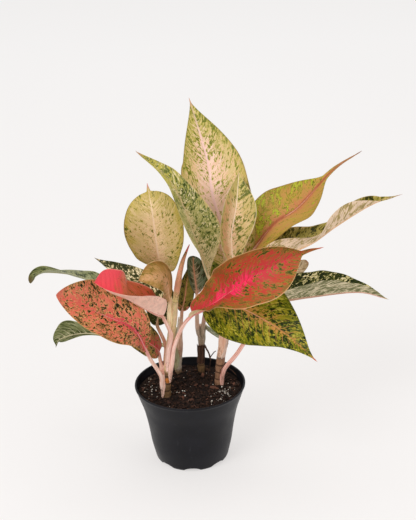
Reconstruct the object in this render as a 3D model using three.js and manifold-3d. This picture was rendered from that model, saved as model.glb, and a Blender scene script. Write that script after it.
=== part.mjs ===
// A chinese evergreen (Aglaonema) in a nursery pot. Four rooted stems stand in the soil, and each leaf
// has its own stalk, which lies along its stem before it bends out to a thin, folded and waved blade.
// Millimetres, +Z up. The origin is the centre of the pot's foot, and the plant is seen from -Y.

import * as THREE from 'three';
import { mergeVertices } from 'three/addons/utils/BufferGeometryUtils.js';
import Module from 'manifold-3d';

const wasm = await Module();
wasm.setup();

// ---------------------------------------------------------------- driving dimensions

const CLEARANCE = 0.3; // between pieces that touch

const POT = {
  height: 94,
  wall: 1.6,
  floor: 6.5,
  // outer radius and height, from the rounded bottom corner to the lip
  outline: [[42.6, 4.6], [46.5, 22], [49.5, 42], [52.3, 57], [55, 68], [58.7, 79], [63.5, 94]],
  footRadius: 38.6,
  sides: 36,
  notches: 8,
  notchWidth: 19,
  notchHeight: 4.4,
  notchFrom: 34,
  drainRadius: 3.5,
  drainRing: 27,
};

const SOIL = {
  top: 85.5,
  lump: 1.4, // height of the swells of its surface
  rings: 5,
  sides: 28,
  chips: 16,
  chipSize: 3.2,
  holeGap: 0.5,
};

const BLADE = {
  thickness: 0.8,
  rib: 1.1, // least depth of the midrib
  stations: 14,
  ends: 0.5, // how much closer the stations lie at the ends
  neck: 0.05, // part of the blade that turns from round stalk to flat
  leastHalfWidth: 0.5,
};

const STEM = { stations: 26, sides: 10, ring: 9, swell: 0.05 };

const STALK = { baseRadius: 2.9, tipRadius: 1.9, stations: 6 };

// Stems: the centre line from the buried end upward, with the radius at each point.
const STEMS = {
  front_left: {
    path: [
      [-27, -16, 50], [-27, -16, 72], [-27, -16, 94], [-24, -16, 120],
      [-21, -15, 150], [-16, -15, 178], [-13, -16, 204],
    ],
    radii: [5.2, 5.2, 5.2, 4.8, 4.2, 4, 3.6],
    wood: 118,
    colour: 0xb9a07a,
  },
  back_left: {
    path: [[-14, 43, 58], [-14, 43, 76], [-14, 43, 94], [-12, 42, 114], [-11, 40, 136], [-9, 37, 158]],
    radii: [4.2, 4.2, 4.2, 3.9, 3.6, 3],
    wood: 98,
    colour: 0xc9c8a8,
  },
  back: {
    path: [[13, 43, 58], [13, 43, 76], [13, 43, 94], [14, 43, 120], [13, 42, 146]],
    radii: [4, 4, 4, 3.6, 3],
    wood: 120,
    colour: 0x8a6a50,
  },
  right: {
    path: [
      [34, 8, 50], [34, 8, 72], [34, 8, 94], [36, 8, 118],
      [40, 8, 142], [43, 8, 168], [46, 8, 193], [47, 8, 216],
    ],
    radii: [5.4, 5.4, 5.4, 5, 4.8, 4.4, 4, 3.4],
    wood: 112,
    colour: 0xa98a68,
  },
};

// Leaves. stem, side (degrees, 0 is +X and -90 is the front) and along (heights) say where the stalk
// lies on its stem, via is where it bends, mid is the midrib from the blade's base to its tip, and
// face is what the upper side looks toward, at even steps along the blade. half is the widest half
// width, at the fraction widest of the length. base and tip say how blunt or sharp the ends are. fold
// and curl, left and right of the midrib, are the angle at the midrib and the turn from there to the
// edge. A list of folds is spread evenly along the blade. tail is a drawn-out tip, as parts of the
// length and of the half width. wave is the edge's wave: height, number and phase.
const LEAVES = [
  { name: 'leaf_top', stem: 'right', side: 95, along: [176, 210], via: [],
    mid: [[53, 19, 236], [32.5, 30, 307], [27, 53, 343], [8.4, 87, 406]], face: [[0.01, -0.86, 0.5]],
    half: 43, widest: 0.4, base: 0.36, tip: 1.09, fold: [33, 15], curl: [14, 5], tail: [0.03, 0.04],
    wave: [1.2, 2, 0.1], colour: 0xdcb491 },
  { name: 'leaf_top_inner', stem: 'right', side: -70, along: [184, 208], via: [],
    mid: [[52, 2, 240], [51, 0, 274], [57, 8, 306], [61, 24, 340]], face: [[-0.06, -0.98, 0.21]],
    half: 23.5, widest: 0.54, base: 0.42, tip: 1.36, fold: [50, 0], curl: [10, 0], tail: [0, 0],
    wave: [0.8, 2, 0.4], colour: 0xd2b48e },
  { name: 'leaf_upper_left', stem: 'right', side: -170, along: [162, 196], via: [],
    mid: [[25, -4, 226], [11, -20, 283], [-11, -26, 346], [-49, -5, 376]],
    face: [[0.5, -0.75, 0.29], [-0.43, -0.6, 0.74]],
    half: 28, widest: 0.39, base: 1.54, tip: 1.5, fold: [63, 22], curl: [6, 10], tail: [0.12, 0.36],
    wave: [1, 2, 0.3], colour: 0xa5a27b },
  { name: 'leaf_oval', stem: 'front_left', side: 100, along: [160, 188], via: [],
    mid: [[-28, 6, 236], [-30, -15, 264], [-33, -28, 313], [-38, -12, 342]],
    face: [[-0.05, -0.79, -0.5], [0.1, -0.94, -0.31], [0.2, -0.93, 0.1], [0.18, -0.82, 0.54]],
    half: 32.5, widest: 0.58, base: 0.23, tip: 0.5, fold: [-3, [32, 30, 24, 20, 20]],
    curl: [-1, 9], tail: [0.08, 0.14], wave: [1, 2, 0], colour: 0xb79f70 },
  { name: 'leaf_arching', stem: 'front_left', side: -152, along: [168, 194], via: [],
    mid: [[-18, -25, 210], [-21, -42, 240], [-31, -57, 252], [-49, -76, 257]],
    face: [[0.94, -0.34, 0], [0.93, -0.27, 0.15], [0.67, -0.18, 0.7], [0.41, -0.2, 0.88]],
    half: 20, widest: 0.52, base: 0.6, tip: 1.1, fold: [-6, 8], curl: [-3, -4], tail: [0, 0],
    wave: [0.6, 1.5, 0], colour: 0xa8854f },
  { name: 'leaf_folded_pink', stem: 'front_left', side: -98, along: [126, 166], via: [],
    mid: [[-27, -28, 192], [-45, -54, 215], [-61, -77, 237], [-76, -92, 251], [-92, -104, 269]],
    face: [[0.82, 0, 0.55], [0.89, -0.26, 0.37], [0.84, -0.5, 0.15], [0.66, -0.74, 0.1]],
    half: 28, widest: 0.58, base: 0.32, tip: 0.25, fold: [[110, 98, 95, 88, 76], [25, 22, -28, -2, 0]],
    curl: [5, 5], tail: [0, 0], wave: [0.6, 1.5, 0.2], colour: 0xe46f6b },
  { name: 'leaf_salmon', stem: 'front_left', side: -142, along: [92, 112], via: [[-43, -30, 141]],
    mid: [[-46, -36, 153], [-58, -58, 192], [-88, -77, 219], [-132, -106, 257]],
    face: [[0.3, -0.82, -0.4], [0.47, -0.79, -0.15], [0.63, -0.7, 0.28], [0.66, -0.68, 0.33]],
    half: 33, widest: 0.63, base: 0.52, tip: 0.63, fold: [[60, 48, 32, 25], [-14, -6, 16]],
    curl: [14, 9], tail: [0, 0], wave: [1, 2, 0.2], colour: 0xd4735c },
  { name: 'leaf_far_left', stem: 'back_left', side: 170, along: [114, 142], via: [[-32, 34, 180]],
    mid: [[-57, 26, 203], [-106, 42, 206], [-139, 62, 207.5], [-173, 73, 204], [-185, 71, 193]],
    face: [[0.05, 0.2, 0.98], [-0.05, 0.34, 0.91], [0.02, 0.28, 0.93], [-0.01, 0.4, 1.06],
      [-0.61, -0.4, 0.32]],
    half: 26, widest: 0.39, base: 0.74, tip: 0.45, fold: [10, 6], curl: [5, 0], tail: [0, 0],
    wave: [0.8, 2, 0.1], colour: 0x83936e },
  { name: 'leaf_dark_left', stem: 'front_left', side: 125, along: [114, 146], via: [],
    mid: [[-35, 2, 166], [-33, 10, 194], [-59, 24, 213], [-105, 50, 231]],
    face: [[0.25, -0.9, 0.3], [0.33, -0.62, 0.65], [0.2, -0.4, 0.88], [0.16, -0.36, 0.92]],
    half: 21, widest: 0.35, base: 0.74, tip: 1.14, fold: [16, 9], curl: [4, 4], tail: [0, 0],
    wave: [0.8, 2, 0.4], colour: 0x46562e },
  { name: 'leaf_low_left', stem: 'back_left', side: -140, along: [96, 116], via: [[-36, 36, 126]],
    mid: [[-74, 32, 133], [-118, 48, 136], [-150, 51, 129], [-157, 46, 120]],
    face: [[-0.09, -0.66, 0.74], [-0.22, -0.84, 0.49]],
    half: 19, widest: 0.75, base: 1.04, tip: 1.86, fold: [60, 22], curl: [5, 5], tail: [0, 0],
    wave: [0.8, 2, 0], colour: 0x8a9a78 },
  { name: 'leaf_low_hidden', stem: 'front_left', side: 178, along: [100, 122], via: [],
    mid: [[-34, -2, 133], [-37, -5, 142], [-56, -18, 162], [-90, -30, 181]],
    face: [[0.9, -0.4, 0.12], [0.66, -0.6, 0.42], [0.54, -0.61, 0.58]],
    half: 20, widest: 0.37, base: 0.65, tip: 1.37, fold: [16, 0], curl: [8, 0], tail: [0, 0],
    wave: [0.5, 2, 0], colour: 0x8a7a48 },
  { name: 'leaf_dark_middle', stem: 'back', side: -120, along: [129, 143], via: [],
    mid: [[11, 16, 198], [9, 13, 222], [8, 15, 235], [8, 22, 242]],
    face: [[0.21, -0.88, 0.39], [-0.01, -0.32, 0.95]],
    half: 15, widest: 0.58, base: 0.48, tip: 0.76, fold: [42, 23], curl: [18, 11], tail: [0, 0],
    wave: [0, 1, 0], colour: 0x4f5f52 },
  { name: 'leaf_olive_middle', stem: 'back_left', side: -80, along: [112, 136], via: [],
    mid: [[-7, 30, 170], [-3, 27, 188], [0, 27, 208], [4, 29, 230]], face: [[0.2, -0.95, 0.2]],
    half: 10, widest: 0.38, base: 0.6, tip: 1.2, fold: [12, 12], curl: [6, 6], tail: [0, 0],
    wave: [0.4, 1, 0], colour: 0x6f6a3c },
  { name: 'leaf_red', stem: 'front_left', side: -45, along: [112, 150], via: [[-3, -24, 181]],
    mid: [[6, -26, 192], [34, -44, 217], [73, -60, 252], [121, -56, 274], [148, -40, 274]],
    face: [[0.5, -0.38, 0.71], [0.6, -0.3, 0.61], [0.62, -0.61, 0.38]],
    half: 35, widest: 0.54, base: 0.21, tip: 0.9, fold: [[52, 46, 42, 33, 25], [10, 16, 15, 4, 5]],
    curl: [28, 7], tail: [0.16, 0.17], wave: [1.6, 2.5, 0.1], colour: 0xc6483f },
  { name: 'leaf_front_green', stem: 'right', side: -130, along: [130, 158], via: [[30, -6, 190]],
    mid: [[24, -14, 211], [69, -36, 198], [107, -61, 182], [138, -86, 161]],
    face: [[0.3, -0.82, 0.49]],
    half: 42, widest: 0.32, base: 0.6, tip: 1.56, fold: [14, 9], curl: [7, 5], tail: [0, 0],
    wave: [1.4, 2.5, 0.2], colour: 0x6d7a34 },
  { name: 'leaf_upper_right', stem: 'right', side: 34, along: [180, 206], via: [],
    mid: [[73, 16, 246], [99, 28, 275], [128, 47, 287], [168, 73, 320], [204, 96, 335]],
    face: [[-0.17, -0.72, 0.68]],
    half: 39, widest: 0.34, base: 0.66, tip: 1.16, fold: [-2, 40], curl: [0, 10], tail: [0.3, 0.21],
    wave: [1.2, 2, 0.2], colour: 0xb39454 },
  { name: 'leaf_right_wavy', stem: 'right', side: -18, along: [176, 200], via: [],
    mid: [[79, 2, 238], [137, 8, 258], [163, 16, 273], [207, 26, 296], [242, 34, 304]],
    face: [[0.38, 0.12, 0.94]],
    half: 21, widest: 0.24, base: 0.64, tip: 0.65, fold: [51, 62], curl: [5, 5], tail: [0.14, 0.14],
    wave: [8.43, 1.73, 0.85], colour: 0xcfae93 },
  { name: 'leaf_right_dark', stem: 'right', side: -60, along: [92, 108],
    via: [[54, -4, 130], [63, -3, 144]],
    mid: [[99, 12, 188], [140, 26, 186], [196, 39, 184], [232, 44, 171]],
    face: [[0.33, 0.18, 0.94]],
    half: 30, widest: 0.31, base: 0.5, tip: 1.17, fold: [54, 51], curl: [0, 0], tail: [0, 0],
    wave: [1.2, 2, 0.2], colour: 0x5d7048 },
  { name: 'leaf_small_curled', stem: 'right', side: 45, along: [136, 158], via: [],
    mid: [[97, 30, 200], [112, 44, 203], [128, 56, 208], [140, 64, 213]], face: [[-0.2, -0.9, 0.5]],
    half: 9, widest: 0.6, base: 0.6, tip: 0.45, fold: [10, 10], curl: [20, 20], tail: [0, 0],
    wave: [0.4, 1, 0], colour: 0xb99a7a },
  { name: 'leaf_green_inner', stem: 'back', side: -60, along: [128, 142], via: [],
    mid: [[24, 26, 196], [28, 20, 230], [33, 20, 251], [31, 24, 268]], face: [[-0.01, -0.96, 0.3]],
    half: 11.5, widest: 0.5, base: 0.9, tip: 1.77, fold: [10, 10], curl: [5, 5], tail: [0, 0],
    wave: [0.4, 1, 0], colour: 0x55702c },
  { name: 'leaf_back_narrow', stem: 'back', side: 55, along: [118, 134], via: [],
    mid: [[20, 42, 145], [26, 40, 138], [36, 37, 131], [46, 34, 124]], face: [[0.3, 0.22, 0.95]],
    half: 8, widest: 0.44, base: 0.7, tip: 1.37, fold: [13, 5], curl: [6, 3], tail: [0, 0],
    wave: [0, 1, 0], colour: 0x8c9a86 },
];

const NEW_LEAF = {
  path: [[-12.9, -16, 204.5], [-9, -18, 227], [-3, -20, 253], [5, -22, 274]],
  radii: [3.3, 3.6, 2.6, 0.5],
  colour: 0xc86a5a,
};

// A leaf sheath that has dried to an open sleeve round its stem, from one angle to the other.
const DRIED_SHEATH = {
  stem: 'back',
  along: [97, 124],
  angles: [-165, -28],
  thickness: 0.8,
  flare: 1.3,
  stations: 5,
  steps: 6,
  colour: 0x3f2c22,
};

// ---------------------------------------------------------------- solids

function toManifold(geometry) {
  const bare = new THREE.BufferGeometry();
  bare.setAttribute('position', geometry.getAttribute('position').clone());
  if (geometry.index) bare.setIndex(geometry.index.clone());
  const merged = mergeVertices(bare, 1e-4);
  return new wasm.Manifold(new wasm.Mesh({
    numProp: 3,
    vertProperties: new Float32Array(merged.getAttribute('position').array),
    triVerts: new Uint32Array(merged.index.array),
  }));
}

function toGeometry(solid) {
  const mesh = solid.getMesh();
  const geometry = new THREE.BufferGeometry();
  geometry.setAttribute('position', new THREE.BufferAttribute(mesh.vertProperties.slice(), 3));
  geometry.setIndex(new THREE.BufferAttribute(mesh.triVerts.slice(), 1));
  return geometry;
}

// A closed body through rings of points, which all have the same even count. Quads from mirrored on
// are split along the other diagonal, so that the two faces of a blade are split alike. The second
// half of a ring runs back beside the first, and the ends are closed from one half to the other.
function loft(rings, mirrored = Infinity) {
  const count = rings[0].length;
  const last = rings.length - 1;
  const index = [];
  for (let i = 0; i < last; i += 1) {
    for (let j = 0; j < count; j += 1) {
      const a = i * count + j;
      const b = i * count + ((j + 1) % count);
      const c = b + count;
      const d = a + count;
      if (j < mirrored) index.push(a, b, c, a, c, d);
      else index.push(a, b, d, b, c, d);
    }
  }
  for (let j = 0; j < count / 2 - 1; j += 1) {
    const quad = [j, j + 1, count - 2 - j, count - 1 - j];
    const [a, b, c, d] = quad;
    index.push(a, c, b, a, d, c);
    const [e, f, g, h] = quad.map((k) => last * count + k);
    index.push(e, f, g, e, g, h);
  }
  const points = rings.flat();
  const geometry = new THREE.BufferGeometry().setFromPoints(points);
  geometry.setIndex(signedVolume(points, index) < 0 ? index.reverse() : index);
  return geometry;
}

function signedVolume(points, index) {
  const cross = new THREE.Vector3();
  let sum = 0;
  for (let k = 0; k < index.length; k += 3) {
    cross.crossVectors(points[index[k + 1]], points[index[k + 2]]);
    sum += points[index[k]].dot(cross);
  }
  return sum;
}

function curveOf(points, type = 'catmullrom') {
  const vectors = points.map((p) => (p.isVector3 ? p : new THREE.Vector3(...p)));
  return new THREE.CatmullRomCurve3(vectors, false, type, 0.5);
}

// The value at fraction s of a list of numbers or vectors that are spaced evenly from 0 to 1.
function ramp(values, s) {
  const place = s * (values.length - 1);
  const k = Math.min(Math.floor(place), Math.max(values.length - 2, 0));
  const next = values[Math.min(k + 1, values.length - 1)];
  if (Array.isArray(next)) return values[k].map((v, axis) => v + (next[axis] - v) * (place - k));
  return values[k] + (next - values[k]) * (place - k);
}

function valueAt(value, s) {
  return Array.isArray(value) ? ramp(value, s) : value;
}

function smooth(x) {
  const t = THREE.MathUtils.clamp(x, 0, 1);
  return t * t * (3 - 2 * t);
}

// ---------------------------------------------------------------- pot and soil

function potOutline() {
  const upper = POT.outline.map(([r, z]) => new THREE.Vector2(r, z));
  const corner = new THREE.QuadraticBezierCurve(
    new THREE.Vector2(POT.footRadius, 0),
    new THREE.Vector2(41.7, 0.3),
    upper[0],
  );
  return [...corner.getPoints(2), ...new THREE.SplineCurve(upper).getPoints(8).slice(1)];
}

function innerRadius(z) {
  const wall = POT.outline.map(([r, height]) => [r - POT.wall, height]);
  let k = 0;
  while (k < wall.length - 2 && wall[k + 1][1] < z) k += 1;
  const [r0, z0] = wall[k];
  const [r1, z1] = wall[k + 1];
  return r0 + ((r1 - r0) * (z - z0)) / (z1 - z0);
}

function pot() {
  const outside = potOutline();
  const inside = outside
    .filter((p) => p.y > POT.floor + 3)
    .map((p) => new THREE.Vector2(p.x - POT.wall, p.y))
    .reverse();
  const floorEdge = innerRadius(POT.floor) - 1.5;
  const profile = [
    new THREE.Vector2(0, 0),
    ...outside,
    ...inside,
    new THREE.Vector2(floorEdge, POT.floor),
    new THREE.Vector2(0, POT.floor),
  ];
  let solid = toManifold(new THREE.LatheGeometry(profile, POT.sides).rotateX(Math.PI / 2));
  if (solid.volume() < 0) throw new Error('the pot is inside out');
  const reach = POT.outline[0][0] + 5 - POT.notchFrom;
  for (let k = 0; k < POT.notches; k += 1) {
    const angle = ((k + 0.5) / POT.notches) * 2 * Math.PI - Math.PI / 2 + Math.PI / POT.notches;
    const notch = new THREE.CylinderGeometry(POT.notchWidth / 2, POT.notchWidth / 2, reach, 12);
    notch.scale(POT.notchHeight / (POT.notchWidth / 2), 1, 1);
    notch.rotateZ(Math.PI / 2).rotateX(Math.PI / 2);
    notch.translate(POT.notchFrom + reach / 2, 0, 0);
    notch.rotateZ(angle);
    solid = solid.subtract(toManifold(notch));
    const drain = new THREE.CylinderGeometry(POT.drainRadius, POT.drainRadius, 3 * POT.floor, 10);
    drain.rotateX(Math.PI / 2).translate(POT.drainRing, 0, 0).rotateZ(angle);
    solid = solid.subtract(toManifold(drain));
  }
  return toGeometry(solid);
}

function soilHeight(x, y) {
  const swell = Math.sin(x * 0.21 + 1.3) * Math.cos(y * 0.17 - 0.4) + 0.6 * Math.sin(x * 0.43 - y * 0.37);
  return SOIL.top + SOIL.lump * swell * 0.6;
}

function soil(holes) {
  const edge = innerRadius(SOIL.top) - CLEARANCE;
  const bottom = POT.floor + CLEARANCE;
  const profile = [new THREE.Vector2(0, bottom)];
  for (const z of [bottom, 20, 40, 57, 68]) {
    const inset = z === bottom ? 2.2 : CLEARANCE + 0.35;
    profile.push(new THREE.Vector2(innerRadius(z) - inset, z));
  }
  for (let k = SOIL.rings; k >= 0; k -= 1) {
    profile.push(new THREE.Vector2((edge * k) / SOIL.rings, SOIL.top));
  }
  const body = new THREE.LatheGeometry(profile, SOIL.sides).rotateX(Math.PI / 2);
  const at = body.getAttribute('position');
  for (let k = 0; k < at.count; k += 1) {
    if (at.getZ(k) > SOIL.top - 0.01) {
      const r = Math.hypot(at.getX(k), at.getY(k));
      const fade = 1 - smooth((r - edge + 8) / 8);
      at.setZ(k, SOIL.top + (soilHeight(at.getX(k), at.getY(k)) - SOIL.top) * fade);
    }
  }
  let solid = toManifold(body);
  for (let k = 0; k < SOIL.chips; k += 1) {
    const angle = k * 2.39996;
    const r = (edge - 7) * Math.sqrt((k + 0.5) / SOIL.chips);
    const size = SOIL.chipSize * (0.6 + 0.4 * Math.sin(k * 1.7));
    const chip = new THREE.IcosahedronGeometry(size, 0);
    chip.scale(1.5, 0.9, 0.6).rotateZ(angle * 1.7);
    const x = r * Math.cos(angle);
    const y = r * Math.sin(angle);
    if (holes.some((hole) => Math.hypot(x - hole.x, y - hole.y) < 10)) continue;
    chip.translate(x, y, soilHeight(x, y) + size * 0.15);
    solid = solid.add(toManifold(chip));
  }
  for (const { x, y, radius, depth } of holes) {
    const hole = new THREE.CylinderGeometry(radius, radius, 2 * depth, 16);
    hole.rotateX(Math.PI / 2).translate(x, y, SOIL.top);
    solid = solid.subtract(toManifold(hole));
  }
  const [whole] = solid.decompose().sort((a, b) => b.volume() - a.volume());
  return toGeometry(whole);
}

// ---------------------------------------------------------------- stems and leaves

function circle(centre, right, up, radius, count) {
  const ring = [];
  for (let j = 0; j < count; j += 1) {
    const angle = Math.PI - ((j + 0.5) / count) * 2 * Math.PI;
    ring.push(centre.clone()
      .addScaledVector(right, radius * Math.cos(angle))
      .addScaledVector(up, radius * Math.sin(angle)));
  }
  return ring;
}

// A round body along a curve. swell(height) widens the radius, as the rings of a woody stem do.
function roundBody(points, radii, steps, sides, swell = () => 0) {
  const curve = curveOf(points);
  const rings = [];
  const side = new THREE.Vector3(1, 0, 0);
  for (let i = 0; i <= steps; i += 1) {
    const s = i / steps;
    const t = curve.getUtoTmapping(s);
    const centre = curve.getPoint(t);
    const along = curve.getTangent(t);
    const right = side.clone().addScaledVector(along, -side.dot(along)).normalize();
    const up = new THREE.Vector3().crossVectors(along, right);
    rings.push(circle(centre, right, up, ramp(radii, t) * (1 + swell(centre.z)), sides));
  }
  return loft(rings);
}

function stem({ path, radii, wood }) {
  const ringed = (z) => z < wood && z > SOIL.top + 3;
  const swell = (z) => (ringed(z) ? STEM.swell * Math.cos((z / STEM.ring) * 2 * Math.PI) : 0);
  return roundBody(path, radii, STEM.stations, STEM.sides, swell);
}

// The centre and the greatest radius of a stem at a height.
function stemAt(name, height) {
  const { path, radii, wood } = STEMS[name];
  const curve = curveOf(path);
  let low = 0;
  let high = 1;
  for (let k = 0; k < 30; k += 1) {
    const half = (low + high) / 2;
    if (curve.getPoint(half).z < height) low = half;
    else high = half;
  }
  const swell = height < wood ? STEM.swell : 0;
  return { centre: curve.getPoint(low), radius: (1 + swell) * ramp(radii, low) };
}

// The point at a distance from the middle of a stem, on the side that the angle says.
function around(centre, angle, distance) {
  const turn = THREE.MathUtils.degToRad(angle);
  return centre.clone().add(new THREE.Vector3(Math.cos(turn) * distance, Math.sin(turn) * distance, 0));
}

// The middle of a stalk that lies beside a stem.
function beside(name, height, side) {
  const { centre, radius } = stemAt(name, height);
  return around(centre, side, radius + STALK.baseRadius + CLEARANCE);
}

function driedSheath() {
  const { along: [low, high], angles: [from, to], thickness, stations, steps } = DRIED_SHEATH;
  const rings = [];
  for (let i = 0; i <= stations; i += 1) {
    const share = i / stations;
    const { centre, radius } = stemAt(DRIED_SHEATH.stem, low + (high - low) * share);
    const inner = radius + CLEARANCE + DRIED_SHEATH.flare * share ** 2;
    const outside = [];
    const inside = [];
    for (let j = 0; j <= steps; j += 1) {
      const angle = from + ((to - from) * j) / steps;
      outside.push(around(centre, angle, inner + thickness));
      inside.unshift(around(centre, angle, inner));
    }
    rings.push([...outside, ...inside]);
  }
  return loft(rings);
}

function halfWidthAt(leaf, s) {
  const [tailLength, tailWidth] = leaf.tail;
  const body = 1 - tailLength;
  const x = THREE.MathUtils.clamp(s / body, 0, 1);
  const power = Math.log(0.5) / Math.log(leaf.widest / body);
  const arch = Math.max(Math.sin(Math.PI * x ** power), 0);
  const blade = arch ** (leaf.base + (leaf.tip - leaf.base) * x);
  const tail = tailLength ? tailWidth * Math.min((1 - s) / (2 * tailLength), 1) * Math.min(3 * s, 1) : 0;
  return Math.max(leaf.half * Math.hypot(blade, tail), BLADE.leastHalfWidth);
}

// One cross-section of a blade: the upper side from the left edge to the right, then the lower back.
function bladeRing(leaf, s, centre, right, up) {
  const halfWidth = halfWidthAt(leaf, s);
  const upper = [];
  const lower = [];
  for (const across of [-1, -0.5, 0, 0.5, 1]) {
    const hand = across < 0 ? 0 : 1;
    const reach = Math.abs(across);
    const fold = THREE.MathUtils.degToRad(valueAt(leaf.fold[hand], s));
    const curl = THREE.MathUtils.degToRad(leaf.curl[hand]) + 1e-4;
    const slope = fold + curl * reach;
    const x = (halfWidth / curl) * (Math.sin(slope) - Math.sin(fold)) * Math.sign(across);
    const [height, number, phase] = leaf.wave;
    const turn = number * s + phase + (hand ? 0.25 : 0);
    const wave = height * reach ** 2 * Math.sin(2 * Math.PI * turn) * Math.sin(Math.PI * s);
    const z = (halfWidth / curl) * (Math.cos(fold) - Math.cos(slope)) + wave;
    const point = centre.clone().addScaledVector(right, x).addScaledVector(up, z);
    const normal = up.clone().multiplyScalar(Math.cos(across ? slope : 0));
    normal.addScaledVector(right, -Math.sin(across ? slope : 0) * Math.sign(across));
    const steepest = THREE.MathUtils.degToRad(Math.max(...leaf.fold.map((f) => Math.abs(valueAt(f, s)))));
    const ribDepth = Math.max(BLADE.rib, (BLADE.thickness * 1.1) / Math.cos(Math.min(steepest, 1.2)));
    const depth = across ? BLADE.thickness : ribDepth;
    upper.push(point);
    lower.unshift(point.clone().addScaledVector(normal, -depth));
  }
  return [...upper, ...lower];
}

function leafBody(leaf) {
  const [low, high] = leaf.along;
  const stalk = [low, (low + high) / 2, high].map((height) => beside(leaf.stem, height, leaf.side));
  const stalkCurve = curveOf([...stalk, ...leaf.via, leaf.mid[0]], 'centripetal');
  const blade = curveOf(leaf.mid);
  const rings = [];
  const up = new THREE.Vector3();
  for (let i = BLADE.stations; i >= 0; i -= 1) {
    const even = (i / BLADE.stations) * 2 * Math.PI;
    const s = (even - BLADE.ends * Math.sin(even)) / (2 * Math.PI);
    const centre = blade.getPointAt(s);
    const along = blade.getTangentAt(s);
    up.set(...ramp(leaf.face, s));
    up.addScaledVector(along, -up.dot(along)).normalize();
    const right = new THREE.Vector3().crossVectors(along, up);
    const flat = bladeRing(leaf, s, centre, right, up);
    const round = circle(centre, right, up, STALK.tipRadius, flat.length);
    const share = smooth(s / BLADE.neck);
    rings.unshift(round.map((p, j) => p.lerp(flat[j], share)));
  }
  for (let i = STALK.stations - 1; i >= 0; i -= 1) {
    const s = i / STALK.stations;
    const along = stalkCurve.getTangentAt(s);
    up.addScaledVector(along, -up.dot(along)).normalize();
    const right = new THREE.Vector3().crossVectors(along, up);
    const radius = STALK.baseRadius + (STALK.tipRadius - STALK.baseRadius) * smooth(s * 1.6);
    rings.unshift(circle(stalkCurve.getPointAt(s), right, up, radius, rings[0].length));
  }
  return loft(rings, rings[0].length / 2);
}

// ---------------------------------------------------------------- the scene graph

const group = new THREE.Group();

function addPiece(name, geometry, color, roughness, metalness = 0) {
  const material = new THREE.MeshStandardMaterial({ color, roughness, metalness });
  const mesh = new THREE.Mesh(geometry, material);
  mesh.name = name;
  group.add(mesh);
}

addPiece('pot', pot(), 0x232426, 0.45);

const holes = Object.values(STEMS).map(({ path: [[x, y, z]], radii: [radius] }) => (
  { x, y, radius: radius + SOIL.holeGap, depth: SOIL.top - z + CLEARANCE }
));
addPiece('soil', soil(holes), 0x2b1d16, 0.95);

for (const [name, shape] of Object.entries(STEMS)) {
  addPiece(`stem_${name}`, stem(shape), shape.colour, 0.7);
}

for (const leaf of LEAVES) addPiece(leaf.name, leafBody(leaf), leaf.colour, 0.5);

addPiece('leaf_new_rolled', roundBody(NEW_LEAF.path, NEW_LEAF.radii, 10, 8), NEW_LEAF.colour, 0.5);

addPiece('dried_sheath', driedSheath(), DRIED_SHEATH.colour, 0.85);

export default group;
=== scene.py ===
import math

import bmesh
import bpy
import numpy as np
from mathutils import Matrix, Vector, noise


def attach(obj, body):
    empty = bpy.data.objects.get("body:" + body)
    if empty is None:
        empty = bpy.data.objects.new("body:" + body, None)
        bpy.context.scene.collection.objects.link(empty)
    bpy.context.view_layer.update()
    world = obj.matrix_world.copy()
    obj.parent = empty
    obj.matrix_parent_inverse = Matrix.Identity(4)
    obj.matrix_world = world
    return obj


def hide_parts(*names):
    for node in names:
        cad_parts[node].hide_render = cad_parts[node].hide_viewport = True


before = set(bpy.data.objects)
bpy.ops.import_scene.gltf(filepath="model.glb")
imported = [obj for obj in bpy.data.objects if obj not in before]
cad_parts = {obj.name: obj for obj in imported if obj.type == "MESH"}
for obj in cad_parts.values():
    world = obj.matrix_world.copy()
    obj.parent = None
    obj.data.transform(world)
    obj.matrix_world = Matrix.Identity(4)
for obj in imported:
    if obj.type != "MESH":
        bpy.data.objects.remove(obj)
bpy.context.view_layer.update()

MM = 0.001

# ---------------------------------------------------------------- driving dimensions

POT = {
    "height": 94, "wall": 1.6, "floor": 6.5, "foot": 38.6,
    "outline": [(42.6, 4.6), (46.5, 22), (49.5, 42), (52.3, 57), (55, 68), (58.7, 79), (63.5, 94)],
    "notches": 8, "notch_width": 19, "notch_height": 4.4, "notch_from": 34,
    "drain_radius": 3.5, "drain_ring": 27,
    "corner": (41.7, 0.3),  # that the foot's rounded edge bows toward
}
SOIL_TOP = 85.5
SOIL_LUMP = 1.4
RING_GAP = 9  # between the rings of a woody cane
STALK_TIP = 1.9  # radius where the blade starts
STALK_STANDS_OFF = (-1.0, 1.6, 2.9)  # middle of the stalk from the stem's surface, going up
GAP = 0.3  # between pieces that touch

# name: centre line from the buried end upward, radius at each point, height of the wood
STEMS = {
    "front_left": ([(-27, -16, 50), (-27, -16, 72), (-27, -16, 94), (-24, -16, 120),
                    (-21, -15, 150), (-16, -15, 178), (-13, -16, 204)],
                   [5.2, 5.2, 5.2, 4.8, 4.2, 4, 3.6], 118),
    "back_left": ([(-14, 43, 58), (-14, 43, 76), (-14, 43, 94), (-12, 42, 114), (-11, 40, 136),
                   (-9, 37, 158)], [4.2, 4.2, 4.2, 3.9, 3.6, 3], 98),
    "back": ([(13, 43, 58), (13, 43, 76), (13, 43, 94), (14, 43, 120), (13, 42, 146)],
             [4, 4, 4, 3.6, 3], 120),
    "right": ([(34, 8, 50), (34, 8, 72), (34, 8, 94), (36, 8, 118), (40, 8, 142), (43, 8, 168),
               (46, 8, 193), (47, 8, 216)], [5.4, 5.4, 5.4, 5, 4.8, 4.4, 4, 3.4], 112),
}

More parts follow.
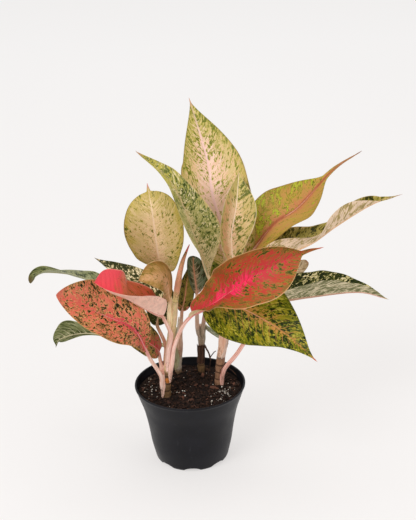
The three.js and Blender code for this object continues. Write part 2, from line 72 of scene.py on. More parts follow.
# stem, side and along say where the stalk lies on its stem, via is where it bends, mid is the
# midrib from base to tip and face what the upper side looks toward. fold and curl are given left
# and right of the midrib. tail is a drawn-out tip and wave the edge's height, number and phase. A
# leaf without a bend has no via, and one without a drawn-out tip no tail.
LEAVES = {
    "leaf_top": dict(
        stem="right", side=95, along=(176, 210),
        mid=[(53, 19, 236), (32.5, 30, 307), (27, 53, 343), (8.4, 87, 406)],
        face=[(0.01, -0.86, 0.5)],
        half=43, widest=0.4, base=0.36, tip=1.09, fold=(33, 15), curl=(14, 5), tail=(0.03, 0.04),
        wave=(1.2, 2, 0.1)),
    "leaf_top_inner": dict(
        stem="right", side=-70, along=(184, 208),
        mid=[(52, 2, 240), (51, 0, 274), (57, 8, 306), (61, 24, 340)],
        face=[(-0.06, -0.98, 0.21)],
        half=23.5, widest=0.54, base=0.42, tip=1.36, fold=(50, 0), curl=(10, 0),
        wave=(0.8, 2, 0.4)),
    "leaf_upper_left": dict(
        stem="right", side=-170, along=(162, 196),
        mid=[(25, -4, 226), (11, -20, 283), (-11, -26, 346), (-49, -5, 376)],
        face=[(0.5, -0.75, 0.29), (-0.43, -0.6, 0.74)],
        half=28, widest=0.39, base=1.54, tip=1.5, fold=(63, 22), curl=(6, 10), tail=(0.12, 0.36),
        wave=(1, 2, 0.3)),
    "leaf_oval": dict(
        stem="front_left", side=100, along=(160, 188),
        mid=[(-28, 6, 236), (-30, -15, 264), (-33, -28, 313), (-38, -12, 342)],
        face=[(-0.05, -0.79, -0.5), (0.1, -0.94, -0.31), (0.2, -0.93, 0.1), (0.18, -0.82, 0.54)],
        half=32.5, widest=0.58, base=0.23, tip=0.5, fold=(-3, [32, 30, 24, 20, 20]), curl=(-1, 9),
        tail=(0.08, 0.14), wave=(1, 2, 0)),
    "leaf_arching": dict(
        stem="front_left", side=-152, along=(168, 194),
        mid=[(-18, -25, 210), (-21, -42, 240), (-31, -57, 252), (-49, -76, 257)],
        face=[(0.94, -0.34, 0), (0.93, -0.27, 0.15), (0.67, -0.18, 0.7), (0.41, -0.2, 0.88)],
        half=20, widest=0.52, base=0.6, tip=1.1, fold=(-6, 8), curl=(-3, -4), wave=(0.6, 1.5, 0)),
    "leaf_folded_pink": dict(
        stem="front_left", side=-98, along=(126, 166),
        mid=[(-27, -28, 192), (-45, -54, 215), (-61, -77, 237), (-76, -92, 251), (-92, -104, 269)],
        face=[(0.82, 0, 0.55), (0.89, -0.26, 0.37), (0.84, -0.5, 0.15), (0.66, -0.74, 0.1)],
        half=28, widest=0.58, base=0.32, tip=0.25,
        fold=([110, 98, 95, 88, 76], [25, 22, -28, -2, 0]),
        curl=(5, 5), wave=(0.6, 1.5, 0.2)),
    "leaf_salmon": dict(
        stem="front_left", side=-142, along=(92, 112), via=[(-43, -30, 141)],
        mid=[(-46, -36, 153), (-58, -58, 192), (-88, -77, 219), (-132, -106, 257)],
        face=[(0.3, -0.82, -0.4), (0.47, -0.79, -0.15), (0.63, -0.7, 0.28), (0.66, -0.68, 0.33)],
        half=33, widest=0.63, base=0.52, tip=0.63, fold=([60, 48, 32, 25], [-14, -6, 16]),
        curl=(14, 9), wave=(1, 2, 0.2)),
    "leaf_far_left": dict(
        stem="back_left", side=170, along=(114, 142), via=[(-32, 34, 180)],
        mid=[(-57, 26, 203), (-106, 42, 206), (-139, 62, 207.5), (-173, 73, 204), (-185, 71, 193)],
        face=[(0.05, 0.2, 0.98), (-0.05, 0.34, 0.91), (0.02, 0.28, 0.93),
              (-0.01, 0.4, 1.06), (-0.61, -0.4, 0.32)],
        half=26, widest=0.39, base=0.74, tip=0.45, fold=(10, 6), curl=(5, 0), wave=(0.8, 2, 0.1)),
    "leaf_dark_left": dict(
        stem="front_left", side=125, along=(114, 146),
        mid=[(-35, 2, 166), (-33, 10, 194), (-59, 24, 213), (-105, 50, 231)],
        face=[(0.25, -0.9, 0.3), (0.33, -0.62, 0.65), (0.2, -0.4, 0.88), (0.16, -0.36, 0.92)],
        half=21, widest=0.35, base=0.74, tip=1.14, fold=(16, 9), curl=(4, 4), wave=(0.8, 2, 0.4)),
    "leaf_low_left": dict(
        stem="back_left", side=-140, along=(96, 116), via=[(-36, 36, 126)],
        mid=[(-74, 32, 133), (-118, 48, 136), (-150, 51, 129), (-157, 46, 120)],
        face=[(-0.09, -0.66, 0.74), (-0.22, -0.84, 0.49)],
        half=19, widest=0.75, base=1.04, tip=1.86, fold=(60, 22), curl=(5, 5), wave=(0.8, 2, 0)),
    "leaf_low_hidden": dict(
        stem="front_left", side=178, along=(100, 122),
        mid=[(-34, -2, 133), (-37, -5, 142), (-56, -18, 162), (-90, -30, 181)],
        face=[(0.9, -0.4, 0.12), (0.66, -0.6, 0.42), (0.54, -0.61, 0.58)],
        half=20, widest=0.37, base=0.65, tip=1.37, fold=(16, 0), curl=(8, 0), wave=(0.5, 2, 0)),
    "leaf_dark_middle": dict(
        stem="back", side=-120, along=(129, 143),
        mid=[(11, 16, 198), (9, 13, 222), (8, 15, 235), (8, 22, 242)],
        face=[(0.21, -0.88, 0.39), (-0.01, -0.32, 0.95)],
        half=15, widest=0.58, base=0.48, tip=0.76, fold=(42, 23), curl=(18, 11), wave=(0, 1, 0)),
    "leaf_olive_middle": dict(
        stem="back_left", side=-80, along=(112, 136),
        mid=[(-7, 30, 170), (-3, 27, 188), (0, 27, 208), (4, 29, 230)],
        face=[(0.2, -0.95, 0.2)],
        half=10, widest=0.38, base=0.6, tip=1.2, fold=(12, 12), curl=(6, 6), wave=(0.4, 1, 0)),
    "leaf_red": dict(
        stem="front_left", side=-45, along=(112, 150), via=[(-3, -24, 181)],
        mid=[(6, -26, 192), (34, -44, 217), (73, -60, 252), (121, -56, 274), (148, -40, 274)],
        face=[(0.5, -0.38, 0.71), (0.6, -0.3, 0.61), (0.62, -0.61, 0.38)],
        half=35, widest=0.54, base=0.21, tip=0.9, fold=([52, 46, 42, 33, 25], [10, 16, 15, 4, 5]),
        curl=(28, 7), tail=(0.16, 0.17), wave=(1.6, 2.5, 0.1)),
    "leaf_front_green": dict(
        stem="right", side=-130, along=(130, 158), via=[(30, -6, 190)],
        mid=[(24, -14, 211), (69, -36, 198), (107, -61, 182), (138, -86, 161)],
        face=[(0.3, -0.82, 0.49)],
        half=42, widest=0.32, base=0.6, tip=1.56, fold=(14, 9), curl=(7, 5), wave=(1.4, 2.5, 0.2)),
    "leaf_upper_right": dict(
        stem="right", side=34, along=(180, 206),
        mid=[(73, 16, 246), (99, 28, 275), (128, 47, 287), (168, 73, 320), (204, 96, 335)],
        face=[(-0.17, -0.72, 0.68)],
        half=39, widest=0.34, base=0.66, tip=1.16, fold=(-2, 40), curl=(0, 10), tail=(0.3, 0.21),
        wave=(1.2, 2, 0.2)),
    "leaf_right_wavy": dict(
        stem="right", side=-18, along=(176, 200),
        mid=[(79, 2, 238), (137, 8, 258), (163, 16, 273), (207, 26, 296), (242, 34, 304)],
        face=[(0.38, 0.12, 0.94)],
        half=21, widest=0.24, base=0.64, tip=0.65, fold=(51, 62), curl=(5, 5), tail=(0.14, 0.14),
        wave=(8.43, 1.73, 0.85)),
    "leaf_right_dark": dict(
        stem="right", side=-60, along=(92, 108), via=[(54, -4, 130), (63, -3, 144)],
        mid=[(99, 12, 188), (140, 26, 186), (196, 39, 184), (232, 44, 171)],
        face=[(0.33, 0.18, 0.94)],
        half=30, widest=0.31, base=0.5, tip=1.17, fold=(54, 51), curl=(0, 0), wave=(1.2, 2, 0.2)),
    "leaf_small_curled": dict(
        stem="right", side=45, along=(136, 158),
        mid=[(97, 30, 200), (112, 44, 203), (128, 56, 208), (140, 64, 213)],
        face=[(-0.2, -0.9, 0.5)],
        half=9, widest=0.6, base=0.6, tip=0.45, fold=(10, 10), curl=(20, 20), wave=(0.4, 1, 0)),
    "leaf_green_inner": dict(
        stem="back", side=-60, along=(128, 142),
        mid=[(24, 26, 196), (28, 20, 230), (33, 20, 251), (31, 24, 268)],
        face=[(-0.01, -0.96, 0.3)],
        half=11.5, widest=0.5, base=0.9, tip=1.77, fold=(10, 10), curl=(5, 5), wave=(0.4, 1, 0)),
    "leaf_back_narrow": dict(
        stem="back", side=55, along=(118, 134),
        mid=[(20, 42, 145), (26, 40, 138), (36, 37, 131), (46, 34, 124)],
        face=[(0.3, 0.22, 0.95)],
        half=8, widest=0.44, base=0.7, tip=1.37, fold=(13, 5), curl=(6, 3), wave=(0, 1, 0)),
}

NEW_LEAF = {"path": [(-12.9, -16, 204.5), (-9, -18, 227), (-3, -20, 253), (5, -22, 274)],
            "radii": [3.3, 3.6, 2.6, 0.5]}
DRIED_SHEATH = {"stem": "back", "along": (97, 124), "angles": (-165, -28), "thickness": 0.8,
                "flare": 1.3}

# ---------------------------------------------------------------- looks of the leaves
# Colours are sRGB, 0 to 255. Lengths are millimetres, and shares run 0 to 1, along the midrib or
# out from it. base and second mix in blotches, and left lies over the left half. centre, edge, tip,
# foot and sheath are zones: a colour and the shares between which it fades, and sheath is on the
# stalk's foot. point is the very tip and rim the edge. rib is a colour, a width and the share where
# it ends, and vein a colour and a strength. feather is a colour that runs out from the midrib
# between the side veins: how far out, and from where to where along. flecks are tones from the halo
# to the core, each with how much it is widened, then the share of the surface in the middle and at
# the edge, width, length and, if any, what the tip, the left half and the right half add to the
# share. under, under_flecks and stalk are for the under side and the stalk.

LOOKS = {
    "leaf_top": dict(
        slot="leaf_cream_pink", base=(210, 184, 126), second=(222, 182, 140),
        centre=((230, 190, 164), 0.1, 0.6), edge=((188, 164, 88), 0.74, 1.0),
        tip=((198, 182, 108), 0.6, 0.95), point=(206, 160, 132), rib=((240, 200, 194), 2.8, 1.1),
        vein=((244, 214, 184), 0.8), feather=((238, 202, 182), 0.75, 0.0, 0.85), rim=(150, 124, 76),
        flecks=[([((186, 172, 84), 0.04), ((146, 142, 52), 0.0), ((106, 112, 36), -0.05)],
                 0.12, 0.3, 2.3, 4.6, 0.3, 0.04, 0.06),
                ([((172, 160, 84), 0.0)], 0.1, 0.22, 1.4, 3.2, 0.12, 0.0, 0.04)],
        under=(206, 198, 146), stalk=(232, 204, 172)),
    "leaf_top_inner": dict(
        slot="leaf_cream_pink", base=(214, 184, 132), second=(200, 170, 110),
        centre=((228, 192, 152), 0.1, 0.5), edge=((178, 160, 92), 0.74, 1.0),
        left=(202, 148, 106), tip=((196, 178, 106), 0.5, 0.9), point=(206, 180, 130),
        rib=((250, 224, 196), 1.3, 1.3), vein=((240, 212, 172), 0.5),
        feather=((234, 192, 154), 0.5, 0.0, 0.7), rim=(232, 212, 172),
        flecks=[([((176, 162, 88), 0.04), ((130, 128, 58), 0.0), ((98, 102, 44), -0.05)],
                 0.2, 0.36, 2.2, 4.4, 0.1, -0.1, 0.1)],
        under=(206, 190, 146), stalk=(224, 196, 160)),
    "leaf_upper_left": dict(
        slot="leaf_green_cream", base=(184, 174, 112), second=(160, 154, 92),
        centre=((206, 188, 136), 0.06, 0.3), edge=((206, 182, 124), 0.86, 1.0),
        tip=((186, 174, 82), 0.5, 0.8), foot=((220, 198, 156), 0.1, 0.34), point=(190, 150, 120),
        rib=((226, 200, 158), 0.9, 1.0), vein=((214, 198, 144), 0.35),
        feather=((216, 194, 146), 0.35, 0.0, 0.5), rim=(206, 176, 124),
        flecks=[([((148, 148, 82), 0.05), ((108, 116, 56), 0.0), ((54, 66, 20), -0.085)],
                 0.38, 0.34, 2.2, 3.9, 0.0, -0.06, 0.08),
                ([((224, 208, 160), 0.0)], 0.28, 0.22, 1.7, 3.2)],
        under=(176, 178, 136), stalk=(214, 196, 156)),
    "leaf_oval": dict(
        slot="leaf_khaki", base=(206, 178, 126), second=(196, 172, 112),
        centre=((220, 190, 142), 0.06, 0.5), edge=((176, 156, 72), 0.7, 1.0),
        tip=((186, 164, 84), 0.72, 0.95), point=(206, 140, 130), rib=((238, 208, 172), 1.7, 1.15),
        vein=((230, 202, 150), 0.6), feather=((224, 192, 146), 0.5, 0.0, 0.8), rim=(138, 112, 62),
        flecks=[([((172, 154, 76), 0.04), ((124, 122, 44), 0.0), ((78, 84, 26), -0.045)],
                 0.06, 0.22, 2.0, 4.0, 0.04, 0.02, 0.04),
                ([((170, 150, 76), 0.0)], 0.16, 0.3, 1.2, 2.8)],
        under=(184, 166, 118), stalk=(232, 220, 168)),
    "leaf_arching": dict(
        slot="leaf_olive", base=(184, 142, 88), second=(164, 126, 66),
        centre=((196, 148, 98), 0.1, 0.6), edge=((138, 98, 46), 0.7, 1.0), point=(180, 130, 90),
        rib=((198, 148, 100), 1.0, 0.5), vein=((204, 160, 108), 0.5),
        feather=((208, 160, 116), 0.6, 0.0, 1.0), rim=(222, 184, 140),
        flecks=[([((152, 124, 60), 0.04), ((120, 100, 40), 0.0)],
                 0.2, 0.3, 2.0, 6.0)],
        under=(212, 174, 130), stalk=(252, 234, 190)),
    "leaf_folded_pink": dict(
        slot="leaf_coral", base=(232, 122, 92), second=(214, 118, 76),
        centre=((190, 116, 72), 0.08, 0.5), edge=((236, 124, 104), 0.9, 1.0),
        tip=((246, 92, 102), 0.58, 0.82), foot=((226, 130, 100), 0.04, 0.2), point=(240, 90, 100),
        rib=((206, 120, 92), 1.3, 0.6), vein=((236, 124, 104), 0.25),
        feather=((156, 104, 50), 0.9, 0.12, 0.66), rim=(246, 172, 150),
        flecks=[([((160, 108, 58), 0.03), ((120, 88, 40), 0.0)],
                 0.18, 0.12, 2.2, 5.0, -0.4, 0.0, 0.0)],
        under=(255, 212, 192), under_flecks=((246, 198, 178), 0.16), stalk=(246, 210, 196)),
    "leaf_salmon": dict(
        slot="leaf_coral", base=(226, 128, 100), second=(216, 106, 84),
        centre=((222, 102, 86), 0.05, 0.3), edge=((190, 132, 74), 0.88, 1.0),
        foot=((204, 64, 74), 0.04, 0.32), point=(206, 110, 90), rib=((208, 62, 82), 2.2, 0.75),
        vein=((216, 92, 84), 0.3), feather=((210, 62, 80), 0.55, 0.0, 0.62), rim=(206, 160, 96),
        flecks=[([((222, 172, 112), 0.045), ((104, 92, 36), 0.005), ((38, 36, 14), -0.025)],
                 0.3, 0.36, 2.9, 4.6, -0.04, 0.04, 0.04),
                ([((208, 148, 92), 0.035), ((124, 96, 46), 0.0), ((56, 50, 22), -0.05)],
                 0.12, 0.42, 2.0, 3.6, 0.04, 0.0, 0.03)],
        under=(214, 166, 136), stalk=(244, 208, 192)),
    "leaf_far_left": dict(
        slot="leaf_grey_green", base=(146, 144, 102), second=(116, 120, 72),
        centre=((156, 154, 112), 0.1, 0.4), edge=((172, 168, 122), 0.88, 1.0),
        tip=((96, 98, 50), 0.72, 0.95), point=(90, 76, 40),
        rib=((190, 186, 146), 1.1, 1.1), vein=((172, 170, 126), 0.4),
        rim=(192, 184, 140),
        flecks=[([((112, 118, 70), 0.04), ((80, 88, 44), 0.0), ((44, 48, 16), -0.05)],
                 0.4, 0.42, 2.2, 7.0, 0.1, 0.0, 0.0)],
        under=(158, 162, 122), stalk=(190, 186, 148)),
    "leaf_dark_left": dict(
        slot="leaf_dark_green", base=(36, 38, 2), second=(50, 52, 8),
        centre=((56, 58, 18), 0.05, 0.2), edge=((48, 50, 14), 0.85, 1.0), point=(120, 100, 70),
        rib=((124, 112, 60), 0.8, 0.7), vein=((60, 64, 22), 0.3), rim=(120, 108, 58),
        flecks=[([((120, 112, 58), 0.04), ((212, 192, 146), 0.0), ((234, 214, 178), -0.05)],
                 0.3, 0.26, 2.0, 3.2)],
        under=(126, 126, 78), stalk=(214, 164, 140)),
    "leaf_low_left": dict(
        slot="leaf_grey_green", base=(150, 150, 110), second=(120, 124, 78),
        centre=((164, 162, 122), 0.06, 0.3), edge=((124, 128, 82), 0.84, 1.0), point=(80, 84, 48),
        rib=((226, 214, 182), 1.3, 1.2), vein=((216, 204, 168), 0.85), rim=(160, 156, 112),
        flecks=[([((108, 114, 72), 0.03), ((76, 84, 44), 0.0)],
                 0.32, 0.42, 2.2, 7.0, 0.1, 0.0, 0.0)],
        under=(142, 152, 110), stalk=(192, 190, 150)),
    "leaf_low_hidden": dict(
        slot="leaf_olive", base=(142, 118, 56), second=(116, 104, 42),
        centre=((190, 70, 66), 0.05, 0.3), edge=((116, 106, 44), 0.8, 1.0),
        foot=((198, 92, 78), 0.08, 0.36), point=(96, 90, 34), rib=((206, 66, 72), 1.6, 0.7),
        vein=((160, 110, 60), 0.3), feather=((196, 66, 66), 0.5, 0.0, 0.5), rim=(130, 120, 56),
        flecks=[([((164, 146, 66), 0.05), ((88, 84, 28), 0.0), ((44, 42, 12), -0.05)],
                 0.3, 0.4, 2.5, 4.2, 0.1, 0.0, 0.0)],
        under=(154, 140, 90), stalk=(234, 192, 172)),
    "leaf_dark_middle": dict(
        slot="leaf_dark_green", base=(96, 110, 82), second=(120, 128, 98),
        centre=((150, 134, 100), 0.05, 0.3), edge=((84, 84, 50), 0.84, 1.0),
        foot=((218, 172, 150), 0.04, 0.22), point=(76, 76, 46), rib=((224, 156, 122), 1.6, 1.3),
        vein=((214, 186, 154), 1.0), feather=((186, 158, 126), 0.5, 0.0, 0.8), rim=(52, 54, 26),
        flecks=[([((80, 82, 48), 0.02), ((48, 50, 24), -0.04)], 0.28, 0.42, 2.2, 6.0)],
        under=(124, 134, 106), stalk=(222, 194, 172), sheath=((152, 154, 130), 0.2, 0.34)),
    "leaf_olive_middle": dict(
        slot="leaf_olive", base=(130, 118, 48), second=(104, 98, 32),
        centre=((152, 122, 66), 0.06, 0.26), edge=((86, 86, 28), 0.8, 1.0),
        foot=((212, 124, 104), 0.04, 0.2), point=(66, 66, 22), rib=((206, 126, 90), 1.1, 0.9),
        vein=((150, 124, 62), 0.6), rim=(58, 58, 18),
        flecks=[([((138, 122, 52), 0.05), ((66, 66, 18), 0.0), ((38, 40, 8), -0.05)],
                 0.32, 0.38, 2.0, 4.2, 0.1, 0.0, 0.0)],
        under=(140, 132, 84), stalk=(228, 194, 168)),
    "leaf_red": dict(
        slot="leaf_red", base=(182, 74, 44), second=(192, 62, 52),
        centre=((200, 56, 64), 0.05, 0.45), edge=((154, 86, 40), 0.62, 1.0),
        foot=((208, 66, 70), 0.04, 0.2), tip=((164, 78, 44), 0.7, 0.9), point=(196, 96, 74),
        rib=((226, 74, 90), 1.5, 0.5), vein=((222, 66, 76), 0.45),
        feather=((255, 60, 108), 0.6, 0.14, 0.62), rim=(216, 168, 116),
        flecks=[([((160, 120, 50), 0.045), ((112, 108, 34), 0.0), ((64, 70, 20), -0.045)],
                 0.04, 0.38, 2.8, 4.8, 0.16, 0.0, 0.06),
                ([((166, 92, 50), 0.03), ((136, 98, 42), 0.0)],
                 0.04, 0.34, 2.0, 6.0, 0.06, 0.06, 0.0)],
        under=(240, 208, 164), stalk=(248, 208, 194)),
    "leaf_front_green": dict(
        slot="leaf_bright_green", base=(146, 132, 24), second=(114, 116, 12),
        centre=((190, 136, 66), 0.02, 0.18), edge=((104, 106, 10), 0.8, 1.0),
        point=(190, 104, 80), rib=((204, 136, 84), 1.3, 0.95), vein=((200, 142, 76), 0.85),
        feather=((196, 138, 66), 0.5, 0.0, 0.95), rim=(90, 88, 30),
        flecks=[([((92, 98, 6), 0.06), ((50, 62, 0), 0.0), ((26, 36, 0), -0.05)],
                 0.4, 0.46, 2.8, 4.8, 0.04, 0.0, 0.0),
                ([((172, 162, 56), 0.0)], 0.24, 0.28, 1.7, 3.6)],
        under=(156, 150, 84), stalk=(238, 198, 172)),
    "leaf_upper_right": dict(
        slot="leaf_olive", base=(176, 140, 60), second=(180, 132, 70),
        centre=((184, 126, 74), 0.05, 0.35), edge=((158, 126, 46), 0.8, 1.0),
        tip=((160, 116, 80), 0.74, 0.86), point=(140, 100, 90), rib=((160, 86, 56), 3.4, 1.1),
        vein=((196, 136, 86), 0.4), feather=((186, 116, 76), 0.3, 0.0, 0.7), rim=(150, 112, 62),
        flecks=[([((188, 160, 66), 0.045), ((94, 92, 14), 0.024), ((168, 170, 46), -0.025)],
                 0.02, 0.36, 3.1, 4.6, -0.1, 0.18, -0.1),
                ([((168, 146, 60), 0.03), ((136, 120, 36), 0.0)],
                 0.04, 0.24, 1.9, 3.4, 0.0, 0.06, 0.0)],
        under=(206, 178, 132), stalk=(226, 184, 150)),
    "leaf_right_wavy": dict(
        slot="leaf_green_cream", base=(176, 158, 82), second=(150, 138, 60),
        centre=((200, 170, 112), 0.05, 0.3), edge=((204, 176, 116), 0.86, 1.0),
        point=(176, 140, 120), rib=((220, 186, 146), 1.2, 1.2), vein=((190, 166, 104), 0.3),
        rim=(214, 186, 130),
        flecks=[([((138, 124, 44), 0.05), ((92, 88, 24), 0.0), ((52, 52, 12), -0.06)],
                 0.34, 0.4, 2.2, 4.4, 0.06, 0.0, 0.0)],
        under=(232, 204, 174), under_flecks=((176, 154, 100), 0.42), stalk=(226, 192, 158)),
    "leaf_right_dark": dict(
        slot="leaf_dark_green", base=(28, 36, 0), second=(44, 52, 4),
        centre=((54, 60, 16), 0.05, 0.2), edge=((38, 46, 2), 0.86, 1.0), point=(190, 170, 130),
        rib=((124, 118, 66), 0.8, 0.7), vein=((58, 64, 20), 0.3), rim=(96, 98, 40),
        flecks=[([((104, 108, 40), 0.04), ((208, 192, 130), 0.0), ((234, 218, 172), -0.05)],
                 0.3, 0.28, 2.2, 3.6)],
        under=(216, 202, 166), under_flecks=((128, 128, 84), 0.48), stalk=(244, 190, 176)),
    "leaf_small_curled": dict(
        slot="dry_sheath", base=(206, 184, 150), second=(182, 156, 116),
        centre=((212, 190, 156), 0.1, 0.5), edge=((170, 140, 100), 0.84, 1.0),
        point=(170, 130, 96), rib=((200, 176, 138), 0.9, 1.1), vein=((190, 164, 124), 0.4),
        rim=(150, 116, 80),
        flecks=[([((156, 130, 92), 0.0)], 0.2, 0.3, 1.6, 5.0)],
        under=(196, 172, 138), stalk=(200, 174, 138)),
    "leaf_green_inner": dict(
        slot="leaf_bright_green", base=(136, 142, 44), second=(104, 116, 34),
        centre=((146, 146, 56), 0.05, 0.3), edge=((84, 98, 28), 0.8, 1.0),
        point=(96, 106, 40), rib=((190, 176, 96), 0.8, 1.0), vein=((150, 148, 60), 0.3),
        rim=(64, 74, 22),
        flecks=[([((80, 92, 22), 0.03), ((32, 42, 6), -0.02)], 0.4, 0.46, 2.0, 3.8)],
        under=(144, 150, 84), stalk=(196, 160, 140), sheath=((148, 150, 122), 0.3, 0.5)),
    "leaf_back_narrow": dict(
        slot="leaf_grey_green", base=(146, 148, 120), second=(112, 118, 86),
        centre=((168, 166, 138), 0.05, 0.3), edge=((112, 116, 84), 0.85, 1.0),
        point=(100, 104, 76), rib=((190, 188, 156), 0.8, 1.0), vein=((160, 160, 128), 0.4),
        rim=(96, 98, 70),
        flecks=[([((94, 102, 70), 0.0), ((66, 72, 46), -0.06)], 0.34, 0.38, 1.8, 5.0)],
        under=(156, 158, 130), stalk=(176, 168, 140)),
}

# ---------------------------------------------------------------- curves


def smooth(x):
    """Rises from 0 to 1 with a level start and end."""
    t = np.clip(x, 0.0, 1.0)
    return t * t * (3 - 2 * t)


def unit(v):
    return v / np.maximum(np.linalg.norm(v, axis=-1, keepdims=True), 1e-12)


CURVE_STEPS = 48  # between two points of a curve


def even_slopes(p0, p1, p2, p3):
    """The directions at p1 and p2 of the uniform curve."""
    return (p2 - p0) / 2, (p3 - p1) / 2


def centripetal_slopes(p0, p1, p2, p3):
    """The same for the centripetal curve, which doesn't swing out at uneven spacing."""
    pairs = ((p0, p1), (p1, p2), (p2, p3))
    d0, d1, d2 = (max(np.linalg.norm(b - a), 1e-6) ** 0.5 for a, b in pairs)
    return (((p1 - p0) / d0 - (p2 - p0) / (d0 + d1) + (p2 - p1) / d1) * d1,
            ((p2 - p1) / d1 - (p3 - p1) / (d1 + d2) + (p3 - p2) / d2) * d1)


def spline(points, slopes=even_slopes):
    """A fine polyline on the Catmull-Rom curve through the points."""
    p = np.asarray(points, float)
    if p.ndim == 1:
        p = p[:, None]
    ends = np.vstack([2 * p[0] - p[1], p, 2 * p[-1] - p[-2]])
    t = np.linspace(0, 1, CURVE_STEPS, endpoint=False)[:, None]
    pieces = []
    for p0, p1, p2, p3 in zip(ends, ends[1:], ends[2:], ends[3:]):
        v0, v1 = slopes(p0, p1, p2, p3)
        pieces.append((2 * p1 - 2 * p2 + v0 + v1) * t**3 + (3 * p2 - 3 * p1 - 2 * v0 - v1) * t**2
                      + v0 * t + p1)
    return np.vstack([*pieces, p[-1:]])


def along_line(line, shares):
    """Points, directions and the length of a fine polyline, at shares of its length."""
    step = np.linalg.norm(np.diff(line, axis=0), axis=1)
    reach = np.r_[0, np.cumsum(step)]
    heading = np.gradient(line, axis=0)
    where = np.asarray(shares) * reach[-1]
    points = np.stack([np.interp(where, reach, line[:, k]) for k in range(3)], 1)
    headings = np.stack([np.interp(where, reach, heading[:, k]) for k in range(3)], 1)
    return points, unit(headings), reach[-1]


def listed(value, s):
    """A number, or a list of numbers that is spread evenly along the length, at each s."""
    values = np.atleast_1d(value).astype(float)
    if len(values) == 1:
        return np.full(len(s), values[0])
    return np.interp(s, np.linspace(0, 1, len(values)), values)


def softened(values, passes):
    """The rows of an array smoothed along its first axis, with its ends kept."""
    out = values.copy()
    for _ in range(passes):
        out[1:-1] = (out[:-2] + 2 * out[1:-1] + out[2:]) / 4
    return out


def mirrored(row):
    """A row and then the same row backward, as the two sides of a thin body."""
    return np.r_[row, row[::-1]]


def around(centre, turn, reach, level):
    """Points at angles round a centre, each at its own reach and level."""
    return np.stack([centre[0] + np.cos(turn) * reach, centre[1] + np.sin(turn) * reach, level], 1)


# ---------------------------------------------------------------- meshes


def in_scene(name, data):
    """A new object in the scene."""
    made = bpy.data.objects.new(name, data)
    bpy.context.scene.collection.objects.link(made)
    return made


class Shell:
    """Closed pieces of one mesh, with a material slot for every face and four marks for every
    point, which the materials read."""

    def __init__(self):
        self.points, self.faces, self.slots, self.marks = [], [], [], []
        self.count = 0

    def add(self, points, faces, slots, marks):
        volume = sum(
            float(np.dot(points[f[0]], np.cross(points[f[k]], points[f[k + 1]])))
            for f in faces for k in range(1, len(f) - 1)
        )
        for face, slot in zip(faces, slots):
            order = face if volume >= 0 else face[::-1]
            self.faces.append([int(k) + self.count for k in order])
            self.slots.append(slot)
        self.points.append(points)
        self.marks.append(marks)
        self.count += len(points)

    def loft(self, rings, slot_of, marks):
        """Skins rings of points, an even number each, and closes the two ends."""
        rows, columns = rings.shape[:2]
        faces, slots = [], []
        for i in range(rows - 1):
            for j in range(columns):
                a, b = i * columns + j, i * columns + (j + 1) % columns
                faces.append((a, b, b + columns, a + columns))
                slots.append(slot_of(i, j))
        last = (rows - 1) * columns
        for j in range(columns // 2 - 1):
            quad = (j, j + 1, columns - 2 - j, columns - 1 - j)
            faces.append(quad[::-1])
            faces.append(tuple(last + k for k in quad))
            slots.extend([slot_of(0, j), slot_of(rows - 2, j)])
        self.add(rings.reshape(-1, 3), faces, slots, marks.reshape(-1, 4))

    def tube(self, points, headings, radii, sides, slot, marks, shape=None):
        """Rings round a line. shape(angle, row) scales the radius."""
        side = np.array([1.0, 0.0, 0.0])
        rings = np.zeros((len(points), sides, 3))
        stamps = np.zeros((len(points), sides, 4))
        turn = (np.arange(sides) + 0.5) / sides * 2 * math.pi
        for i, (centre, along, radius) in enumerate(zip(points, headings, radii)):
            right = unit(side - along * np.dot(side, along))
            up = np.cross(along, right)
            side = right
            scale = np.ones(sides) if shape is None else shape(turn, i)
            rings[i] = (centre + np.outer(np.cos(turn) * radius * scale, right)
                        + np.outer(np.sin(turn) * radius * scale, up))
            stamps[i] = np.stack([np.full(sides, marks[i][0]), turn * radius,
                                  np.full(sides, marks[i][1]), np.zeros(sides)], 1)
        self.loft(rings, lambda i, j: slot, stamps)

    def make(self, name, materials, sharp=50, smooth_shading=True):
        mesh = bpy.data.meshes.new(name)
        mesh.from_pydata((np.vstack(self.points) * MM).tolist(), [], self.faces)
        stamps = np.vstack(self.marks).astype(np.float32)
        marks = mesh.attributes.new("marks", "FLOAT_VECTOR", "POINT")
        marks.data.foreach_set("vector", np.ascontiguousarray(stamps[:, :3]).ravel())
        tall = mesh.attributes.new("tall", "FLOAT", "POINT")
        tall.data.foreach_set("value", np.ascontiguousarray(stamps[:, 3]))
        for material in materials:
            mesh.materials.append(material)
        mesh.polygons.foreach_set("material_index", np.array(self.slots, np.int32))
        mesh.polygons.foreach_set("use_smooth", np.full(len(self.faces), smooth_shading))
        mesh.update()
        if smooth_shading:
            mesh.set_sharp_from_angle(angle=math.radians(sharp))
        return in_scene(name, mesh)


def finish_piece(piece, slot, *nodes):
    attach(piece, "root")
    if nodes:
        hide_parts(*nodes)
    return piece


# ---------------------------------------------------------------- materials


def linear(colour):
    values = [c / 255 for c in colour]
    return [c / 12.92 if c <= 0.04045 else ((c + 0.055) / 1.055) ** 2.4 for c in values] + [1.0]


def darker(colour, factor):
    return tuple(int(c * factor) for c in colour)


